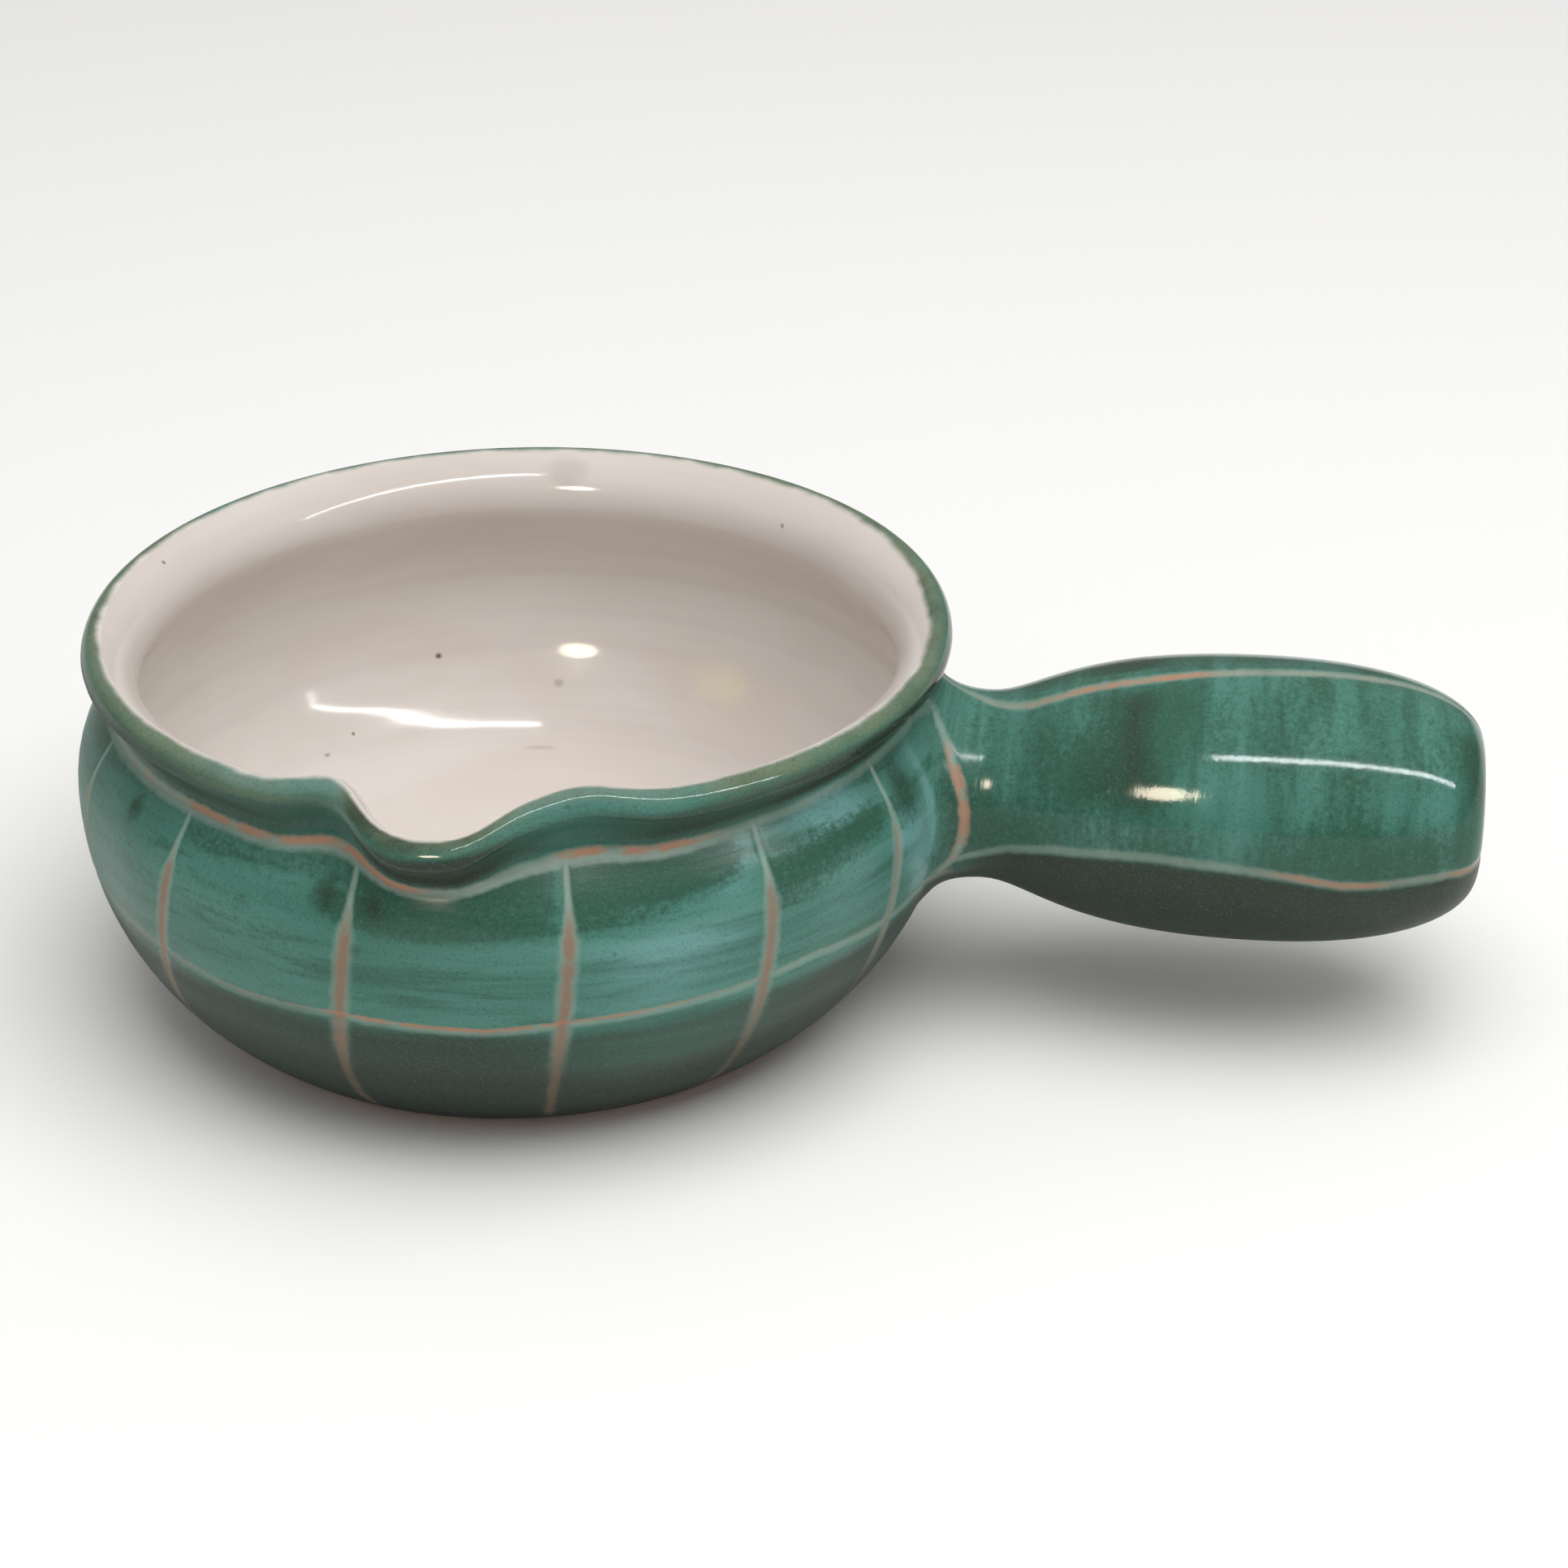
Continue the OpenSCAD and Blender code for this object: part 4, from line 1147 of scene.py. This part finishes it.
def makeClay(name, shade):
    c = clayLook
    mat, tree, shader, where = newMaterial(name)
    wash = cloud(tree, where, 55, 4.0, 0.6)
    grit = cloud(tree, where, 900, 3.0, 0.7)
    specks = useGroup(tree, speckGroup, {"Vector": where, "Scale": 500.0, "Size": 0.22, "Share": 0.12})
    colour = tint(tree, fade(tree, wash, 0.35, 0.68), c["red"], c["pale"])
    colour = tint(tree, times(tree, fade(tree, grit, 0.5, 0.75), shade), colour, c["dark"])
    colour = tint(tree, times(tree, specks["Speck"], c["speckShare"]), colour, c["dark"])
    gloss = calc(tree, "ADD", times(tree, grit, c["gritRough"]), c["rough"])
    dress(tree, shader, c, colour, gloss, grit)
    return mat


greenGlaze = makeGreenGlaze()
whiteGlaze = makeWhiteGlaze()
bareClay = makeClay("bareClay", shade=0.4)
slipClay = makeClay("slipClay", shade=0.15)
print("materials made")

buildBowlCoat(greenGlaze)
buildLining(whiteGlaze)
buildClayBody(bareClay)
buildHandleCoat(greenGlaze)
buildHandleClay(bareClay)

for obj in bpy.data.objects:
    if obj.type == "MESH" and obj.name.startswith("handle_joint"):
        for slotItem in obj.material_slots:
            slotItem.material = slipClay

stageLook = {
    "floor": (0.955, 0.955, 0.955, 1), "grain": (0.945, 0.945, 0.945, 1), "grainScale": 3.0,
    "side": 12.0, "cells": 8, "rough": 0.9, "shine": 0.1,
}


def buildStage():
    look = stageLook
    bm = bmesh.new()
    bmesh.ops.create_grid(bm, x_segments=look["cells"], y_segments=look["cells"], size=look["side"] / 2)
    mesh = bpy.data.meshes.new("floor")
    bm.to_mesh(mesh)
    bm.free()
    floor = bpy.data.objects.new("floor", mesh)
    bpy.context.scene.collection.objects.link(floor)
    mat, tree, shader, where = newMaterial("paleFloor")
    colour = tint(tree, cloud(tree, where, look["grainScale"]), look["floor"], look["grain"])
    tree.links.new(colour, shader.inputs["Base Color"])
    shader.inputs["Roughness"].default_value = look["rough"]
    shader.inputs["Specular IOR Level"].default_value = look["shine"]
    mesh.materials.append(mat)


# the overhead lamp lights the surfaces, the tube and the bulb only make the highlights
lampCentre = (0.04, 0, 0.04)
lampLooks = {
    "overhead": {"at": (0.30, -0.30, 1.32), "aim": lampCentre, "size": (1.3, 1.3), "power": 15.2,
                 "colour": (1.0, 0.992, 0.98), "shape": "RECTANGLE"},
    "tube": {"at": (1.70, -0.77, 1.42), "aim": (1.65, 0, 0.04), "size": (3.4, 0.10), "power": 46.0,
             "colour": (0.95, 0.98, 1.0), "shape": "RECTANGLE"},
    "bulb": {"at": (-0.20, -1.30, 0.69), "aim": lampCentre, "size": (0.27, 0.27), "power": 9.0,
             "colour": (1.0, 0.86, 0.66), "shape": "DISK"},
}
skyLook = {"low": (0.19, 0.185, 0.18, 1), "high": (0.58, 0.575, 0.565, 1), "top": 0.9}


# turns a lamp or the camera from where it stands to what it looks at
def aimAt(obj, at, aim):
    obj.location = at
    obj.rotation_euler = (Vector(aim) - Vector(at)).to_track_quat("-Z", "Y").to_euler()
    bpy.context.scene.collection.objects.link(obj)


def buildLights():
    world = bpy.data.worlds.new("studio")
    world.use_nodes = True
    tree = world.node_tree
    height = split(tree, tree.nodes.new("ShaderNodeTexCoord").outputs["Generated"])[2]
    colour = tint(tree, fade(tree, height, 0.0, skyLook["top"]), skyLook["low"], skyLook["high"])
    tree.links.new(colour, tree.nodes["Background"].inputs[0])
    bpy.context.scene.world = world
    for name, look in lampLooks.items():
        data = bpy.data.lights.new(name, "AREA")
        data.shape = look["shape"]
        data.size, data.size_y = look["size"]
        data.energy = look["power"]
        data.color = look["colour"]
        lamp = bpy.data.objects.new(name, data)
        lamp.visible_diffuse = name == "overhead"
        lamp.visible_glossy = name != "overhead"
        aimAt(lamp, look["at"], look["aim"])


cameraLook = {"lens": 85.7, "sensor": 36.0, "eye": (113.17, -575.83, 343.84), "aim": (46.96, 5.35, 35.86)}


def buildCamera():
    look = cameraLook
    data = bpy.data.cameras.new("view")
    data.lens = look["lens"]
    data.sensor_width = look["sensor"]
    data.sensor_fit = "HORIZONTAL"
    cam = bpy.data.objects.new("view", data)
    aimAt(cam, Vector(look["eye"]) * mm, Vector(look["aim"]) * mm)
    bpy.context.scene.camera = cam


buildStage()
buildLights()
buildCamera()
bpy.context.scene.view_settings.view_transform = "Standard"
print("stage, lights and camera set")
